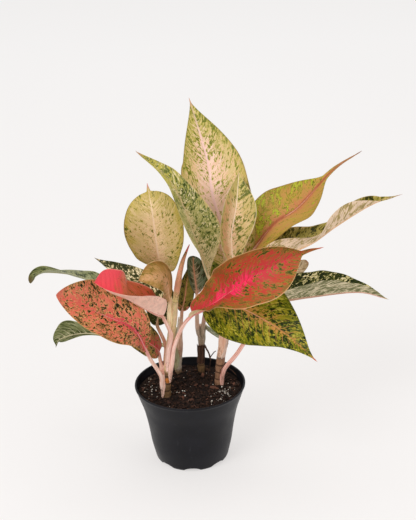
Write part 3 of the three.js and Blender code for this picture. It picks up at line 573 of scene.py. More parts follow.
class Paint:
    """A node material. Each call adds a node and returns its output."""

    def __init__(self, name, roughness, specular):
        self.material = bpy.data.materials.new(name)
        self.material.use_nodes = True
        self.tree = self.material.node_tree
        self.shader = self.tree.nodes["Principled BSDF"]
        self.shader.inputs["Roughness"].default_value = roughness
        self.shader.inputs["Specular IOR Level"].default_value = specular

    def put(self, socket, value):
        if isinstance(value, bpy.types.NodeSocket):
            self.tree.links.new(value, socket)
        else:
            socket.default_value = value

    def node(self, kind, **settings):
        made = self.tree.nodes.new(kind)
        for key, value in settings.items():
            setattr(made, key, value)
        return made

    def marks(self):
        made = self.node("ShaderNodeAttribute", attribute_name="marks")
        split = self.node("ShaderNodeSeparateXYZ")
        self.put(split.inputs[0], made.outputs["Vector"])
        return split.outputs[0], split.outputs[1], split.outputs[2]

    def tall(self):
        return self.node("ShaderNodeAttribute", attribute_name="tall").outputs["Fac"]

    def place(self):
        return self.node("ShaderNodeTexCoord").outputs["Object"]

    def vector(self, x, y, z):
        made = self.node("ShaderNodeCombineXYZ")
        for socket, value in zip(made.inputs, (x, y, z)):
            self.put(socket, value)
        return made.outputs[0]

    def math(self, operation, a, b=0.0, c=0.0):
        made = self.node("ShaderNodeMath", operation=operation)
        for socket, value in zip(made.inputs, (a, b, c)):
            self.put(socket, value)
        return made.outputs[0]

    def plus(self, a, b):
        return self.math("ADD", a, b)

    def less(self, a, b):
        return self.math("SUBTRACT", a, b)

    def times(self, a, b):
        return self.math("MULTIPLY", a, b)

    def line(self, x, slope, start):
        """x times slope, plus start."""
        return self.math("MULTIPLY_ADD", x, slope, start)

    def size(self, a):
        return self.math("ABSOLUTE", a)

    def noise(self, at, scale, detail=2.0, rough=0.5, distortion=0.0):
        made = self.node("ShaderNodeTexNoise")
        self.put(made.inputs["Vector"], at)
        for key, value in (("Scale", scale), ("Detail", detail), ("Roughness", rough),
                           ("Distortion", distortion)):
            self.put(made.inputs[key], value)
        return made.outputs["Fac"]

    def cells(self, at, scale):
        made = self.node("ShaderNodeTexVoronoi")
        self.put(made.inputs["Vector"], at)
        self.put(made.inputs["Scale"], scale)
        return made.outputs["Distance"]

    def step(self, value, low, high, to_low=0.0, to_high=1.0):
        """Rises smoothly from to_low to to_high as value goes from low to high."""
        made = self.node("ShaderNodeMapRange", interpolation_type="SMOOTHSTEP")
        for socket, v in zip(made.inputs, (value, low, high, to_low, to_high)):
            self.put(socket, v)
        return made.outputs[0]

    def fall(self, value, low, high):
        """Falls smoothly from 1 to 0 as value goes from low to high."""
        return self.step(value, low, high, 1.0, 0.0)

    def mix(self, share, a, b, blend="MIX"):
        made = self.node("ShaderNodeMix", data_type="RGBA", blend_type=blend, clamp_factor=True)
        self.put(made.inputs["Factor"], share)
        self.put(made.inputs["A"], linear(a) if isinstance(a, tuple) else a)
        self.put(made.inputs["B"], linear(b) if isinstance(b, tuple) else b)
        return made.outputs["Result"]

    def shade(self, colour, factor):
        """colour times a grey factor."""
        grey = self.node("ShaderNodeCombineColor")
        for socket in grey.inputs:
            self.put(socket, factor)
        return self.mix(1.0, colour, grey.outputs[0], "MULTIPLY")

    def colour(self, value):
        self.put(self.shader.inputs["Base Color"], value)

    def rough(self, value):
        self.put(self.shader.inputs["Roughness"], value)

    def bump(self, height, distance, strength=1.0):
        made = self.node("ShaderNodeBump")
        self.put(made.inputs["Height"], height)
        made.inputs["Strength"].default_value = strength
        made.inputs["Distance"].default_value = distance
        self.put(self.shader.inputs["Normal"], made.outputs[0])


BLOTCH, GRAIN = 0.11, 1.3  # scales of the noise on a leaf, for each millimetre
FLECK_LEAN = ((-0.47, 0.53), (0.88, 1.13))  # across a fleck and along it, by p and by |q|
FLECK_CUT, FLECK_SLOPE = 0.69, -0.36  # noise over the cut is a fleck, and a larger share lowers it
FLECK_BLUR = 0.012


def noisy(paint, p, q, seed, width, length, detail=3.0):
    """Noise that is stretched along the side veins."""
    at = paint.vector(paint.times(p, 1 / width), paint.times(q, 1 / length), seed)
    return paint.noise(at, 1.0, detail, 0.6, 0.6)


def leaf_ground(paint, seed):
    """The marks of a leaf's surface and the two noises that all its colours use."""
    p, q, share = paint.marks()
    tall = paint.tall()
    blotch = paint.noise(paint.vector(p, q, seed), BLOTCH, 3.0, 0.6)
    grain = paint.noise(paint.vector(p, q, seed + 3.0), GRAIN, 3.0, 0.6)
    return p, q, share, tall, blotch, grain


def side_veins(paint, p, gap, wide, narrow):
    """1 on the side veins, falling to 0 between two distances from them."""
    off = paint.size(paint.less(paint.math("FRACT", paint.math("DIVIDE", p, gap)), 0.5))
    return paint.step(off, 0.5 - wide / gap, 0.5 - narrow / gap)


def add_flecks(paint, colour, p, q, tall, share, layer, seed):
    """Flecks that lean out from the midrib toward the tip, each a halo round a darker core."""
    tones, middle, edge, width, length, *added = layer
    tip, left, right = added or (0.0, 0.0, 0.0)
    aside = paint.size(q)
    across, ahead = (paint.line(p, a, paint.times(aside, b)) for a, b in FLECK_LEAN)
    hand = paint.step(q, -0.4, 0.4, seed, seed + 5.0)
    fine = noisy(paint, across, ahead, hand, width, length)
    wide = paint.noise(paint.vector(p, q, seed + 7.0), 0.085, 2.0, 0.5)
    amount = paint.line(share, edge - middle, middle)
    amount = paint.line(paint.less(wide, 0.5), 1.3, amount)
    if tip:
        amount = paint.plus(amount, paint.step(tall, 0.35, 1.0, 0.0, tip))
    if left or right:
        amount = paint.plus(amount, paint.step(q, -1.5, 1.5, left, right))
    cut = paint.line(amount, FLECK_SLOPE, FLECK_CUT)
    for shade, wider in tones:
        mask = paint.step(paint.less(fine, cut), -wider - FLECK_BLUR, -wider + FLECK_BLUR)
        colour = paint.mix(mask, colour, shade)
    return colour


def upper_paint(name, look, seed, vein_gap):
    """The upper side: ground colours, then the feathered middle, flecks, veins, midrib and rim."""
    paint = Paint(f"{name}_upper", roughness=0.42, specular=0.12)
    p, q, share, tall, blotch, grain = leaf_ground(paint, seed)
    width = paint.size(q)
    streak = noisy(paint, p, q, seed + 5.0, 2.3, 24.0, 2.5)
    ragged = paint.line(streak, 0.7, paint.line(blotch, 0.5, -0.6))
    outward = paint.plus(share, ragged)
    along = paint.plus(tall, paint.times(ragged, 0.6))

    def zone(value, key, rising=True):
        shade, low, high = look[key]
        ends = (0.0, 1.0) if rising else (1.0, 0.0)
        return paint.mix(paint.step(value, low, high, *ends), colour, shade)

    colour = paint.mix(paint.step(blotch, 0.38, 0.62), look["base"], look["second"])
    if "left" in look:
        colour = paint.mix(paint.step(q, -1.5, 0.5, 0.85, 0.0), colour, look["left"])
    colour = zone(outward, "centre", False)
    colour = zone(outward, "edge")
    if "tip" in look:
        colour = zone(along, "tip")
    if "foot" in look:
        colour = zone(along, "foot", False)
    if "feather" in look:
        shade, reach, start, end = look["feather"]
        fall = paint.line(share, 0.26 / reach, 0.4)
        strong = paint.step(paint.less(streak, fall), -0.03, 0.09)
        window = paint.times(paint.step(along, start, start + 0.12),
                             paint.fall(along, end - 0.16, end))
        colour = paint.mix(paint.times(strong, window), colour, shade)
    for number, layer in enumerate(look["flecks"]):
        colour = add_flecks(paint, colour, p, q, tall, share, layer, seed + 11.0 * (number + 1))
    vein = side_veins(paint, p, vein_gap, 0.6, 0.1)
    shade, strength = look["vein"]
    fade = paint.step(outward, 0.15, 0.8, strength, 0.0)
    colour = paint.mix(paint.times(vein, fade), colour, shade)
    shade, rib_width, rib_end = look["rib"]
    half_rib = paint.line(tall, -0.62 * rib_width, rib_width)
    torn = paint.line(streak, 1.2, -0.6)
    from_rib = paint.plus(paint.math("DIVIDE", width, half_rib), torn)
    rib = paint.step(from_rib, 0.3, 1.2, 0.9, 0.0)
    rib = paint.times(rib, paint.fall(tall, rib_end - 0.45, rib_end))
    colour = paint.mix(rib, colour, shade)
    colour = paint.mix(paint.step(tall, 0.93, 0.985), colour, look["point"])
    colour = paint.mix(paint.step(share, 0.955, 0.985, 0.0, 0.75), colour, look["rim"])
    colour = paint.shade(colour, paint.step(grain, 0.25, 0.75, 0.92, 1.05))
    paint.colour(colour)
    paint.rough(paint.step(grain, 0.3, 0.7, 0.36, 0.5))
    height = paint.line(vein, -0.5, paint.times(grain, 0.25))
    paint.bump(height, 0.0004, 0.6)
    return paint.material


def under_paint(name, look, seed, vein_gap):
    """The under side: pale, with faint flecks and raised veins."""
    paint = Paint(f"{name}_under", roughness=0.55, specular=0.14)
    p, q, share, tall, blotch, grain = leaf_ground(paint, seed)
    under = look["under"]
    colour = paint.mix(paint.step(blotch, 0.35, 0.65), under, darker(under, 0.92))
    between = tuple((a + b) // 2 for a, b in zip(under, look["flecks"][0][0][0][0]))
    shade, amount = look.get("under_flecks", (between, 0.2))
    layer = ([(shade, 0.02), (darker(shade, 0.86), -0.06)], amount, amount * 1.15, 2.0, 7.0)
    colour = add_flecks(paint, colour, p, q, tall, share, layer, seed + 5.0)
    vein = side_veins(paint, p, vein_gap, 0.5, 0.0)
    colour = paint.mix(paint.times(vein, 0.3), colour, look["stalk"])
    colour = paint.mix(paint.fall(paint.size(q), 0.5, 1.3), colour, look["stalk"])
    colour = paint.mix(paint.step(tall, 0.93, 0.985), colour, look["point"])
    paint.colour(paint.shade(colour, paint.step(grain, 0.25, 0.75, 0.93, 1.05)))
    paint.rough(paint.step(grain, 0.3, 0.7, 0.5, 0.62))
    paint.bump(paint.line(vein, 0.6, paint.times(grain, 0.25)), 0.0004, 0.6)
    return paint.material


def stalk_paint(name, look, seed):
    """The stalk and the raised midrib: streaked, and dry at the foot."""
    paint = Paint(f"{name}_stalk", roughness=0.45, specular=0.3)
    d, q, s = paint.marks()
    at = paint.vector(paint.times(d, 0.06), paint.times(q, 1.1), seed)
    streak = paint.noise(at, 1.0, 3.0, 0.6)
    stalk = look["stalk"]
    pale = tuple(min(255, int(c * 1.02 + 5)) for c in stalk)
    deep = (int(stalk[0] * 0.97), int(stalk[1] * 0.89), int(stalk[2] * 0.85))
    colour = paint.mix(paint.step(streak, 0.4, 0.6), deep, pale)
    if "sheath" in look:
        shade, low, high = look["sheath"]
        spots = paint.noise(paint.vector(d, q, seed + 4.0), 0.6, 3.0, 0.6)
        mottle = paint.step(spots, 0.4, 0.6, 0.75, 1.1)
        foot = paint.fall(paint.line(streak, 0.1, s), low, high)
        colour = paint.mix(foot, colour, paint.shade(paint.mix(streak, shade, pale), mottle))
    colour = paint.mix(paint.step(s, 0.8, 1.0, 0.0, 0.5), colour, look["rib"][0])
    dry = paint.noise(paint.vector(d, q, seed + 2.0), 0.5, 3.0, 0.65)
    low = paint.times(paint.fall(s, 0.0, 0.16), paint.step(dry, 0.4, 0.6))
    colour = paint.mix(paint.times(low, 0.6), colour, (150, 108, 72))
    paint.colour(paint.shade(colour, paint.step(streak, 0.3, 0.7, 0.9, 1.04)))
    paint.bump(streak, 0.0003, 0.6)
    return paint.material


def cane_paint(name, bark_to, bark, ring, above, tint, scar=None):
    """A cane: ringed wood up to a height, and smooth green or pink over it."""
    paint = Paint(name, 0.6, 0.3)
    z, q, _ = paint.marks()
    turn = paint.math("FRACT", paint.math("DIVIDE", z, RING_GAP))
    rough = paint.noise(paint.vector(paint.times(z, 0.35), q, 3.0), 0.7, 4.0, 0.65)
    wavy = paint.line(rough, 0.2, turn)
    band = paint.fall(paint.size(paint.less(wavy, 0.6)), 0.04, 0.16)
    wood = paint.mix(paint.step(rough, 0.35, 0.65), bark, darker(bark, 0.72))
    wood = paint.mix(paint.times(band, 0.75), wood, ring)
    if scar:
        low, high, from_q, to_q, shade = scar
        here, there = (
            paint.times(paint.step(at, start, start + 2), paint.fall(at, end - 2, end))
            for at, start, end in ((z, low, high), (q, from_q, to_q))
        )
        wood = paint.mix(paint.times(here, there), wood, shade)
    streak = paint.noise(paint.vector(paint.times(z, 0.05), q, 8.0), 0.9, 3.0, 0.6)
    green = paint.mix(paint.step(streak, 0.38, 0.62), above, tint)
    bare = paint.step(paint.line(rough, 8.0, z), bark_to, bark_to + 5)
    colour = paint.mix(bare, wood, green)
    paint.colour(paint.shade(colour, paint.step(rough, 0.3, 0.7, 0.86, 1.08)))
    paint.bump(paint.plus(rough, band), 0.0006, 0.7)
    return paint.material


# ---------------------------------------------------------------- leaves


def stem_at(name, height):
    """The centre and radius of a stem at heights."""
    path, radii, wood = STEMS[name]
    line, radius = spline(path), spline(radii)[:, 0]
    centre = np.stack([np.interp(height, line[:, 2], line[:, k]) for k in range(2)], -1)
    swell = np.where(np.asarray(height) < wood, 1.05, 1.0)
    return centre, np.interp(height, line[:, 2], radius) * swell


def beside(stem, height, side, distance):
    """A point at a height, at a distance from the stem's surface, on the side of an angle."""
    centre, radius = stem_at(stem, height)
    turn = math.radians(side)
    reach = radius + distance
    return (centre[0] + math.cos(turn) * reach, centre[1] + math.sin(turn) * reach, height)


def half_width(leaf, s):
    """Half the width of a blade at shares of its length."""
    tail, tail_width = leaf.get("tail", (0, 0))
    body = 1 - tail
    x = np.clip(s / body, 0, 1)
    power = math.log(0.5) / math.log(leaf["widest"] / body)
    arch = np.maximum(np.sin(math.pi * x**power), 0)
    blade = arch ** (leaf["base"] + (leaf["tip"] - leaf["base"]) * x)
    end = tail_width * np.minimum((1 - s) / (2 * tail), 1) * np.minimum(3 * s, 1) if tail else 0 * s
    return leaf["half"] * np.hypot(blade, end)


ROWS, COLUMNS = 96, 15  # of a blade: along it, and from the midrib to each edge
CROWDING = 1.3  # of the columns toward the midrib
BLADE_THICKNESS = 0.5
TIP_BLUNTNESS = 0.25  # half the width at the very tip
VEIN_LEAN = 0.55, 0.4  # of the side veins toward the tip, in the middle and added at the edge
STALK_ROWS, STALK_SIDES = 40, 14
LEAST_VEIN_GAP, MOST_VEINS = 6.5, 16
QUILT = 0.42  # how far the ground stands up between two side veins
GROOVE_DEPTH, GROOVE_WIDTH = 0.5, 1.5
RIPPLE_HEIGHT, RIPPLE_RATE = 0.45, 2.7
# Shares of the length with the value at each.
STALK_RADII = [0, 0.1, 0.3, 1], [0.9, 2.3, 2.5, STALK_TIP]
RIB_RADII = [0, 0.06, 0.25, 0.9], [STALK_TIP, 1.5, 1.0, 0.35]
SHEATH_SPAN = [0, 0.2, 0.6, 1], [20, 62, 74, 34]  # degrees to each side
SHEATH_BULK = [0, 0.3, 0.8, 1], [0.05, 0.7, 2.2, 2.4]
SHEATH_BELOW, SHEATH_ABOVE = 7, 3  # past the heights of the leaf
USUAL_WRAP = 0.85  # how much of its full size a sheath has
WRAP = {"leaf_salmon": 0.5, "leaf_right_dark": 0.4, "leaf_red": 0.6, "leaf_folded_pink": 0.7,
        "leaf_oval": 0.6, "leaf_arching": 0.6}


def leaf_shape(name, leaf, seed):
    """One leaf: a thin blade with raised ground between its side veins, its midrib and stalk, and
    the sheath that holds the stem."""
    shell = Shell()
    even = np.arange(ROWS + 1) / ROWS * 2 * math.pi
    s = (even - 0.5 * np.sin(even)) / (2 * math.pi)
    centre, along, length = along_line(spline(leaf["mid"]), s)
    face = np.asarray(leaf["face"], float)
    towards = np.stack([listed(face[:, k], s) for k in range(3)], 1)
    up = unit(towards - along * (towards * along).sum(1, keepdims=True))
    right = np.cross(along, up)
    half = np.maximum(half_width(leaf, s), TIP_BLUNTNESS + 0.5 * smooth((1 - s) / 0.03))
    side = (np.arange(COLUMNS) + 1) / COLUMNS
    across = np.concatenate([-(side[::-1] ** CROWDING), [0.0], side**CROWDING])
    reach = np.abs(across)
    wave_height, wave_number, wave_phase = leaf["wave"]
    vein_gap = max(LEAST_VEIN_GAP, length / MOST_VEINS)
    top = np.zeros((len(s), len(across), 3))
    marks = np.zeros((len(s), len(across), 4))
    for j, t in enumerate(across):
        hand = 1 if t >= 0 else 0
        fold = np.radians(softened(listed(leaf["fold"][hand], s), 6))
        curl = math.radians(leaf["curl"][hand]) + 1e-4
        slope = fold + curl * reach[j]
        x = half / curl * (np.sin(slope) - np.sin(fold)) * np.sign(t)
        turn = wave_number * s + wave_phase + (0.25 if hand else 0)
        z = half / curl * (np.cos(fold) - np.cos(slope))
        z = z + wave_height * reach[j] ** 2 * np.sin(2 * math.pi * turn) * np.sin(math.pi * s)
        ripple = np.sin(2 * math.pi * (turn * RIPPLE_RATE + seed)) * np.sin(math.pi * s)
        z = z + RIPPLE_HEIGHT * reach[j] ** 3 * ripple * min(1.0, wave_height)
        out = reach[j] * half
        vein = s * length - VEIN_LEAN[0] * out - VEIN_LEAN[1] * out * reach[j]
        quilt = 0.5 - 0.5 * np.cos(2 * math.pi * (vein / vein_gap + 0.5 * hand))
        lift = np.minimum(1, out / 4) * (1 - reach[j]) ** 0.6 * np.minimum(1, half / 10)
        z = z + QUILT * (quilt - 0.6) * lift
        groove = GROOVE_DEPTH * np.interp(s, [0, 0.4, 1], [1, 0.5, 0.2]) * np.minimum(1, half / 6)
        z = z - groove * np.exp(-((out / GROOVE_WIDTH) ** 2))
        top[:, j] = centre + right * x[:, None] + up * z[:, None]
        outward = out * np.sign(t)
        marks[:, j, 0] = vein + 0.5 * vein_gap * smooth((outward + 2) / 4)
        marks[:, j, 1] = outward
        marks[:, j, 2] = reach[j]
        marks[:, j, 3] = s
    normal = unit(np.cross(np.gradient(top, axis=1), np.gradient(top, axis=0)))
    bent = unit(normal + 0.15 * up[:, None, :])
    thick = BLADE_THICKNESS * np.sqrt(np.maximum(1 - reach**5, 0.06))
    under = top - bent * (thick[None, :] * np.minimum(1, half / 1.2)[:, None])[..., None]
    rings = np.concatenate([top, under[:, ::-1]], 1)
    stamps = np.concatenate([marks, marks[:, ::-1]], 1)
    columns = len(across)
    shell.loft(rings, lambda i, j: 0 if j < columns or j == 2 * columns - 1 else 1, stamps)

    low, high = leaf["along"]
    heights = [low, (low + high) / 2, high]
    stalk = [beside(leaf["stem"], h, leaf["side"], d) for h, d in zip(heights, STALK_STANDS_OFF)]
    bends = [*stalk, *leaf.get("via", []), leaf["mid"][0]]
    shares = np.linspace(0, 1, STALK_ROWS)
    points, headings, reach_out = along_line(spline(bends, centripetal_slopes), shares)
    rib_end = int(ROWS * 0.9)
    rib_rows = np.arange(2, rib_end, 2)
    rib_radii = np.interp(s[rib_rows], *RIB_RADII)
    sunk = (rib_radii + 0.15) * smooth(s[rib_rows] / 0.08)
    rib_points = centre[rib_rows] - up[rib_rows] * sunk[:, None]
    points = softened(np.vstack([points, rib_points]), 3)
    headings = unit(np.gradient(points, axis=0))
    radii = np.r_[np.interp(shares, *STALK_RADII), rib_radii]
    distance = np.r_[0, np.cumsum(np.linalg.norm(np.diff(points, axis=0), axis=1))]
    tags = np.stack([distance, np.minimum(distance / reach_out, 1.0)], 1)
    shell.tube(points, headings, radii, STALK_SIDES, 2, tags)
    add_sheath(shell, leaf, WRAP.get(name, USUAL_WRAP))
    return shell, vein_gap


def add_sheath(shell, leaf, wrap):
    """The stalk's foot, which wraps its stem from a thin lower end to where the stalk leaves."""
    low, high = leaf["along"]
    heights = np.linspace(low - SHEATH_BELOW, high + SHEATH_ABOVE, 20)
    centre, radius = stem_at(leaf["stem"], heights)
    shares = np.linspace(0, 1, len(heights))
    span = np.radians(np.interp(shares, *SHEATH_SPAN)) * wrap
    bulk = np.interp(shares, *SHEATH_BULK) * wrap
    count = 13
    place = np.linspace(-1, 1, count)
    rings = np.zeros((len(heights), 2 * count, 3))
    stamps = np.zeros((len(heights), 2 * count, 4))
    for i, height in enumerate(heights):
        turn = mirrored(math.radians(leaf["side"]) + place * span[i])
        inner = radius[i] + 0.05 + 0.5 * shares[i] * np.abs(place) ** 3
        outer = inner + 0.3 + bulk[i] * np.cos(place * math.pi / 2) ** 3
        lift = mirrored(-3.0 * np.abs(place) ** 2 * shares[i])
        rings[i] = around(centre[i], turn, np.r_[outer, inner[::-1]], height + lift)
        stamps[i, :, 0] = height - low
        stamps[i, :, 1] = turn * radius[i]
        stamps[i, :, 2] = shares[i] * 0.3
    shell.loft(rings, lambda i, j: 2, stamps)


for number, (name, leaf) in enumerate(LEAVES.items()):
    look = LOOKS[name]
    shell, vein_gap = leaf_shape(name, leaf, number * 0.37)
    seed = number * 17.3
    paints = [upper_paint(name, look, seed, vein_gap), under_paint(name, look, seed, vein_gap),
              stalk_paint(name, look, seed)]
    piece = shell.make(f"{name}_blade", paints, sharp=62)
    finish_piece(piece, look["slot"], name)

# ---------------------------------------------------------------- canes

# bark and ring colour the wood up to bark_to, and above and tint the smooth part over it. A scar is
# two heights, two places round the cane and a colour.
CANE_LOOKS = {
    "front_left": dict(bark=(138, 104, 68), ring=(60, 38, 24), above=(220, 206, 146),
                       tint=(236, 196, 160), bark_to=120, scar=(104, 112, 21, 30, (196, 116, 46))),
    "back_left": dict(bark=(170, 140, 108), ring=(104, 76, 52), above=(234, 216, 200),
                      tint=(214, 198, 174), bark_to=92),
    "back": dict(bark=(150, 116, 76), ring=(84, 58, 38), above=(206, 172, 150),
                 tint=(184, 152, 128), bark_to=118),
    "right": dict(bark=(176, 130, 98), ring=(70, 42, 28), above=(236, 210, 192),
                  tint=(220, 188, 168), bark_to=124),
}

CANE_ROWS, CANE_SIDES = 150, 28


def knobbly(offset, z, woody):
    """Scales the rings of a cane by noise, and more in the wood."""
    def shape(turn, row):
        rough = [noise.noise(Vector((math.cos(a) * 1.6, math.sin(a) * 1.6 + offset, z[row] * 0.16)))
                 for a in turn]
        return 1 + np.array(rough) * (0.03 + 0.09 * woody[row])

    return shape


for name, (path, radii, wood_top) in STEMS.items():
    shares = np.linspace(0, 1, CANE_ROWS)
    line = spline(path)
    points, headings, _ = along_line(line, shares)
    z = points[:, 2]
    thick = np.interp(z, line[:, 2], spline(radii)[:, 0])
    woody = smooth((wood_top - z) / 3) * smooth((z - SOIL_TOP + 4) / 4)
    node = np.abs((z / RING_GAP + 0.4) % 1 - 0.5) * RING_GAP
    thick = thick * (1 + woody * (0.07 * np.exp(-((node / 1.6) ** 2)) - 0.03))
    shell = Shell()
    shell.tube(points, headings, thick, CANE_SIDES, 0, np.stack([z, shares], 1),
               shape=knobbly(len(name), z, woody))
    paint = cane_paint(f"cane_{name}", **CANE_LOOKS[name])
    finish_piece(shell.make(f"cane_{name}", [paint]), "stem", f"stem_{name}")

# ---------------------------------------------------------------- new leaf, dried sheath, rootlets

SPIKE_ROWS, SPIKE_LENGTH = 70, 72
shares = np.linspace(0, 1, SPIKE_ROWS)
points, headings, _ = along_line(spline(NEW_LEAF["path"]), shares)
radii = np.interp(shares, np.linspace(0, 1, len(NEW_LEAF["radii"])), NEW_LEAF["radii"])


def rolled(turn, row):
    """The roll's edge winds up the spike as a step in its radius."""
    share = row / (SPIKE_ROWS - 1)
    wound = (turn / (2 * math.pi) + 0.9 * share + 0.62) % 1
    return 0.86 + 0.2 * wound * (1 - smooth((wound - 0.9) / 0.1))


shell = Shell()
shell.tube(points, headings, radii, 30, 0, np.stack([shares * SPIKE_LENGTH, shares], 1),
           shape=rolled)
paint = Paint("leaf_new_paint", roughness=0.42, specular=0.4)
d, q, s = paint.marks()
streaks = paint.noise(paint.vector(paint.times(d, 0.08), q, 4.0), 0.9, 3.0, 0.6)
colour = paint.mix(paint.step(streaks, 0.42, 0.6), (226, 146, 122), (196, 148, 100))
colour = paint.mix(paint.fall(s, 0.0, 0.3), colour, (222, 200, 136))
colour = paint.mix(paint.step(s, 0.7, 1.0), colour, (206, 84, 88))
spots = ([((150, 124, 56), 0.02), ((104, 100, 44), -0.04)], 0.1, 0.3, 1.4, 1.2)
paint.colour(add_flecks(paint, colour, d, q, s, s, spots, 5.0))
paint.bump(streaks, 0.0003, 0.6)
finish_piece(shell.make("new_leaf_spike", [paint.material]), "leaf_coral", "leaf_new_rolled")

low, high = DRIED_SHEATH["along"]
first, last = (math.radians(a) for a in DRIED_SHEATH["angles"])
rows, count = 30, 22
TORN = 9.0  # how far the upper edge is torn down
rings = np.zeros((rows, 2 * count, 3))
stamps = np.zeros(rings.shape[:2] + (4,))
shares = np.linspace(0, 1, rows)
heights = low + (high - low) * shares
centre, radius = stem_at(DRIED_SHEATH["stem"], heights)
for i in range(rows):
    turn = np.linspace(first + 0.1 * shares[i], last - 0.35 * shares[i] ** 2, count)
    crease = np.array([noise.noise(Vector((a * 2.6, 1.7, heights[i] * 0.13))) for a in turn])
    tear = np.array([noise.noise(Vector((a * 3.1, 9.2, 0.0))) for a in turn])
    inner = radius[i] + GAP + DRIED_SHEATH["flare"] * shares[i] ** 2 + 0.5 * crease
    height = mirrored(heights[i] - TORN * shares[i] ** 3 * (0.2 + np.abs(tear)))
    turn = mirrored(turn)
    rings[i] = around(centre[i], turn, np.r_[inner + 0.5, inner[::-1]], height)
    stamps[i, :, 0] = height
    stamps[i, :, 1] = turn * 5
    stamps[i, :, 2] = shares[i]
shell = Shell()
shell.loft(rings, lambda i, j: 0, stamps)
paint = Paint("dry_sheath_paint", roughness=0.7, specular=0.25)
d, q, s = paint.marks()
fibre = paint.noise(paint.vector(paint.times(d, 0.05), q, 2.0), 1.2, 4.0, 0.65)
paint.colour(paint.mix(paint.step(fibre, 0.35, 0.65), (40, 24, 18), (104, 72, 54)))
paint.bump(fibre, 0.0006, 0.8)
dry_paint = paint.material
finish_piece(shell.make("dried_sheath_sleeve", [dry_paint]), "dry_sheath", "dried_sheath")

ROOTLETS = (  # path, and radius at its start
    ([(17, 39.5, 121), (20, 36.5, 117.5), (22.5, 36, 112), (23.8, 36, 106.8), (24, 36, 99)], 1.1),
    ([(23.4, 36, 105), (26.5, 36, 110.5), (29, 36, 113.5), (31.5, 36, 114.5)], 0.7),
    ([(24, 36, 99), (23, 35, 94), (21, 34, 84)], 0.45),
    ([(41, 3, 116), (38, 0, 112), (34, -1, 107)], 0.5),
    ([(45, 2, 110), (50, -1, 106), (53, -3, 103)], 0.4),
)
shell = Shell()
for path, radius in ROOTLETS:
    shares = np.linspace(0, 1, 26)
    points, headings, reach = along_line(spline(path), shares)
    wobble = np.array([[noise.noise(Vector(p * 0.2 + k)) for k in range(3)] for p in points])
    points = points + wobble * 0.8
    radii = radius * np.interp(shares, [0, 0.8, 1], [1, 0.8, 0.4])
    tags = np.stack([shares * reach, shares], 1)
    shell.tube(points, unit(np.gradient(points, axis=0)), radii, 8, 0, tags)
finish_piece(shell.make("dried_rootlets", [dry_paint]), "dry_sheath")

# ---------------------------------------------------------------- pot

POT_SIDES = 240


def wall_radius(z):
    """The outer radius of the pot at a height."""
    outline = spline([(r, z, 0) for r, z in POT["outline"]])
    return np.interp(z, outline[:, 1], outline[:, 0])


def pot_profile():
    """Outside from the foot's edge up, over the lip, and down the inside to the floor's middle."""
    foot, wall = POT["foot"], POT["wall"]
    corner_to = POT["outline"][0]
    profile = [(r, 0.0) for r in np.linspace(0.01, POT["notch_from"], 12)]
    profile += [(r, 0.0) for r in np.linspace(POT["notch_from"] + 1, foot, 6)]
    for t in np.linspace(0.14, 1, 7):
        bow = (1 - t) ** 2 * np.array([foot, 0.0]) + 2 * t * (1 - t) * np.array(POT["corner"])
        profile.append(tuple(bow + t * t * np.array(corner_to)))
    top = POT["height"]
    for z in np.linspace(corner_to[1] + 1.5, top - 3.2, 46):
        profile.append((float(wall_radius(z)), float(z)))
    lip = POT["outline"][-1][0]
    rounded = ((0.62, 2.6), (0.15, 2.1), (0, 1.2), (0.05, 0.5), (0.4, 0.08), (0.9, 0), (1.5, 0.1),
               (2.1, 0.6))
    profile += [(lip - inward, top - down) for inward, down in rounded]
    for z in np.linspace(top - 2.5, POT["floor"] + 3.2, 30):
        profile.append((float(wall_radius(z)) - wall, float(z)))
    inside = float(wall_radius(POT["floor"] + 3.2)) - wall
    profile += [(inside - 0.8, POT["floor"] + 1.2), (inside - 2.4, POT["floor"] + 0.2)]
    profile += [(r, POT["floor"]) for r in np.linspace(inside - 4, 0.01, 8)]
    return profile


profile = pot_profile()
turn = np.arange(POT_SIDES) / POT_SIDES * 2 * math.pi
rings = np.zeros((len(profile), POT_SIDES, 3))
stamps = np.zeros(rings.shape[:2] + (4,))
pitch = 2 * math.pi / POT["notches"]
middle = (turn + math.pi / 2 + pitch / 2) % pitch - pitch / 2
for i, (r, z) in enumerate(profile):
    height = np.full(POT_SIDES, z)
    if z < POT["notch_height"] and r > POT["notch_from"]:
        off = np.abs(middle) * r / (POT["notch_width"] / 2)
        arch = np.sqrt(np.clip(1 - off**2.4, 0, 1))
        opening = POT["notch_height"] * arch * smooth((r - POT["notch_from"]) / 2)
        height = np.maximum(height, opening)
    rings[i] = around((0, 0), turn, r, height)
    stamps[i, :, :3] = np.stack([height, turn * 50, np.full(POT_SIDES, r)], 1)
shell = Shell()
shell.loft(rings, lambda i, j: 0, stamps)
paint = Paint("pot_plastic_paint", roughness=0.4, specular=0.2)
at = paint.place()
cloud = paint.noise(at, 38.0, 4.0, 0.6)
fine = paint.noise(at, 900.0, 2.0, 0.6)
stretched = paint.node("ShaderNodeMapping")
paint.put(stretched.inputs["Vector"], at)
stretched.inputs["Scale"].default_value = (1.0, 1.0, 0.3)
scuff = paint.noise(stretched.outputs[0], 140.0, 5.0, 0.7)
colour = paint.mix(paint.step(cloud, 0.35, 0.7), (12, 12, 17), (20, 20, 26))
dust = paint.step(scuff, 0.6, 0.78)
paint.colour(paint.mix(paint.times(dust, 0.3), colour, (70, 70, 76)))
paint.rough(paint.step(cloud, 0.3, 0.7, 0.36, 0.48))
paint.bump(paint.line(fine, 0.5, cloud), 0.0004, 0.35)
pot_piece = shell.make("pot_shell", [paint.material], sharp=40)
drill = Shell()
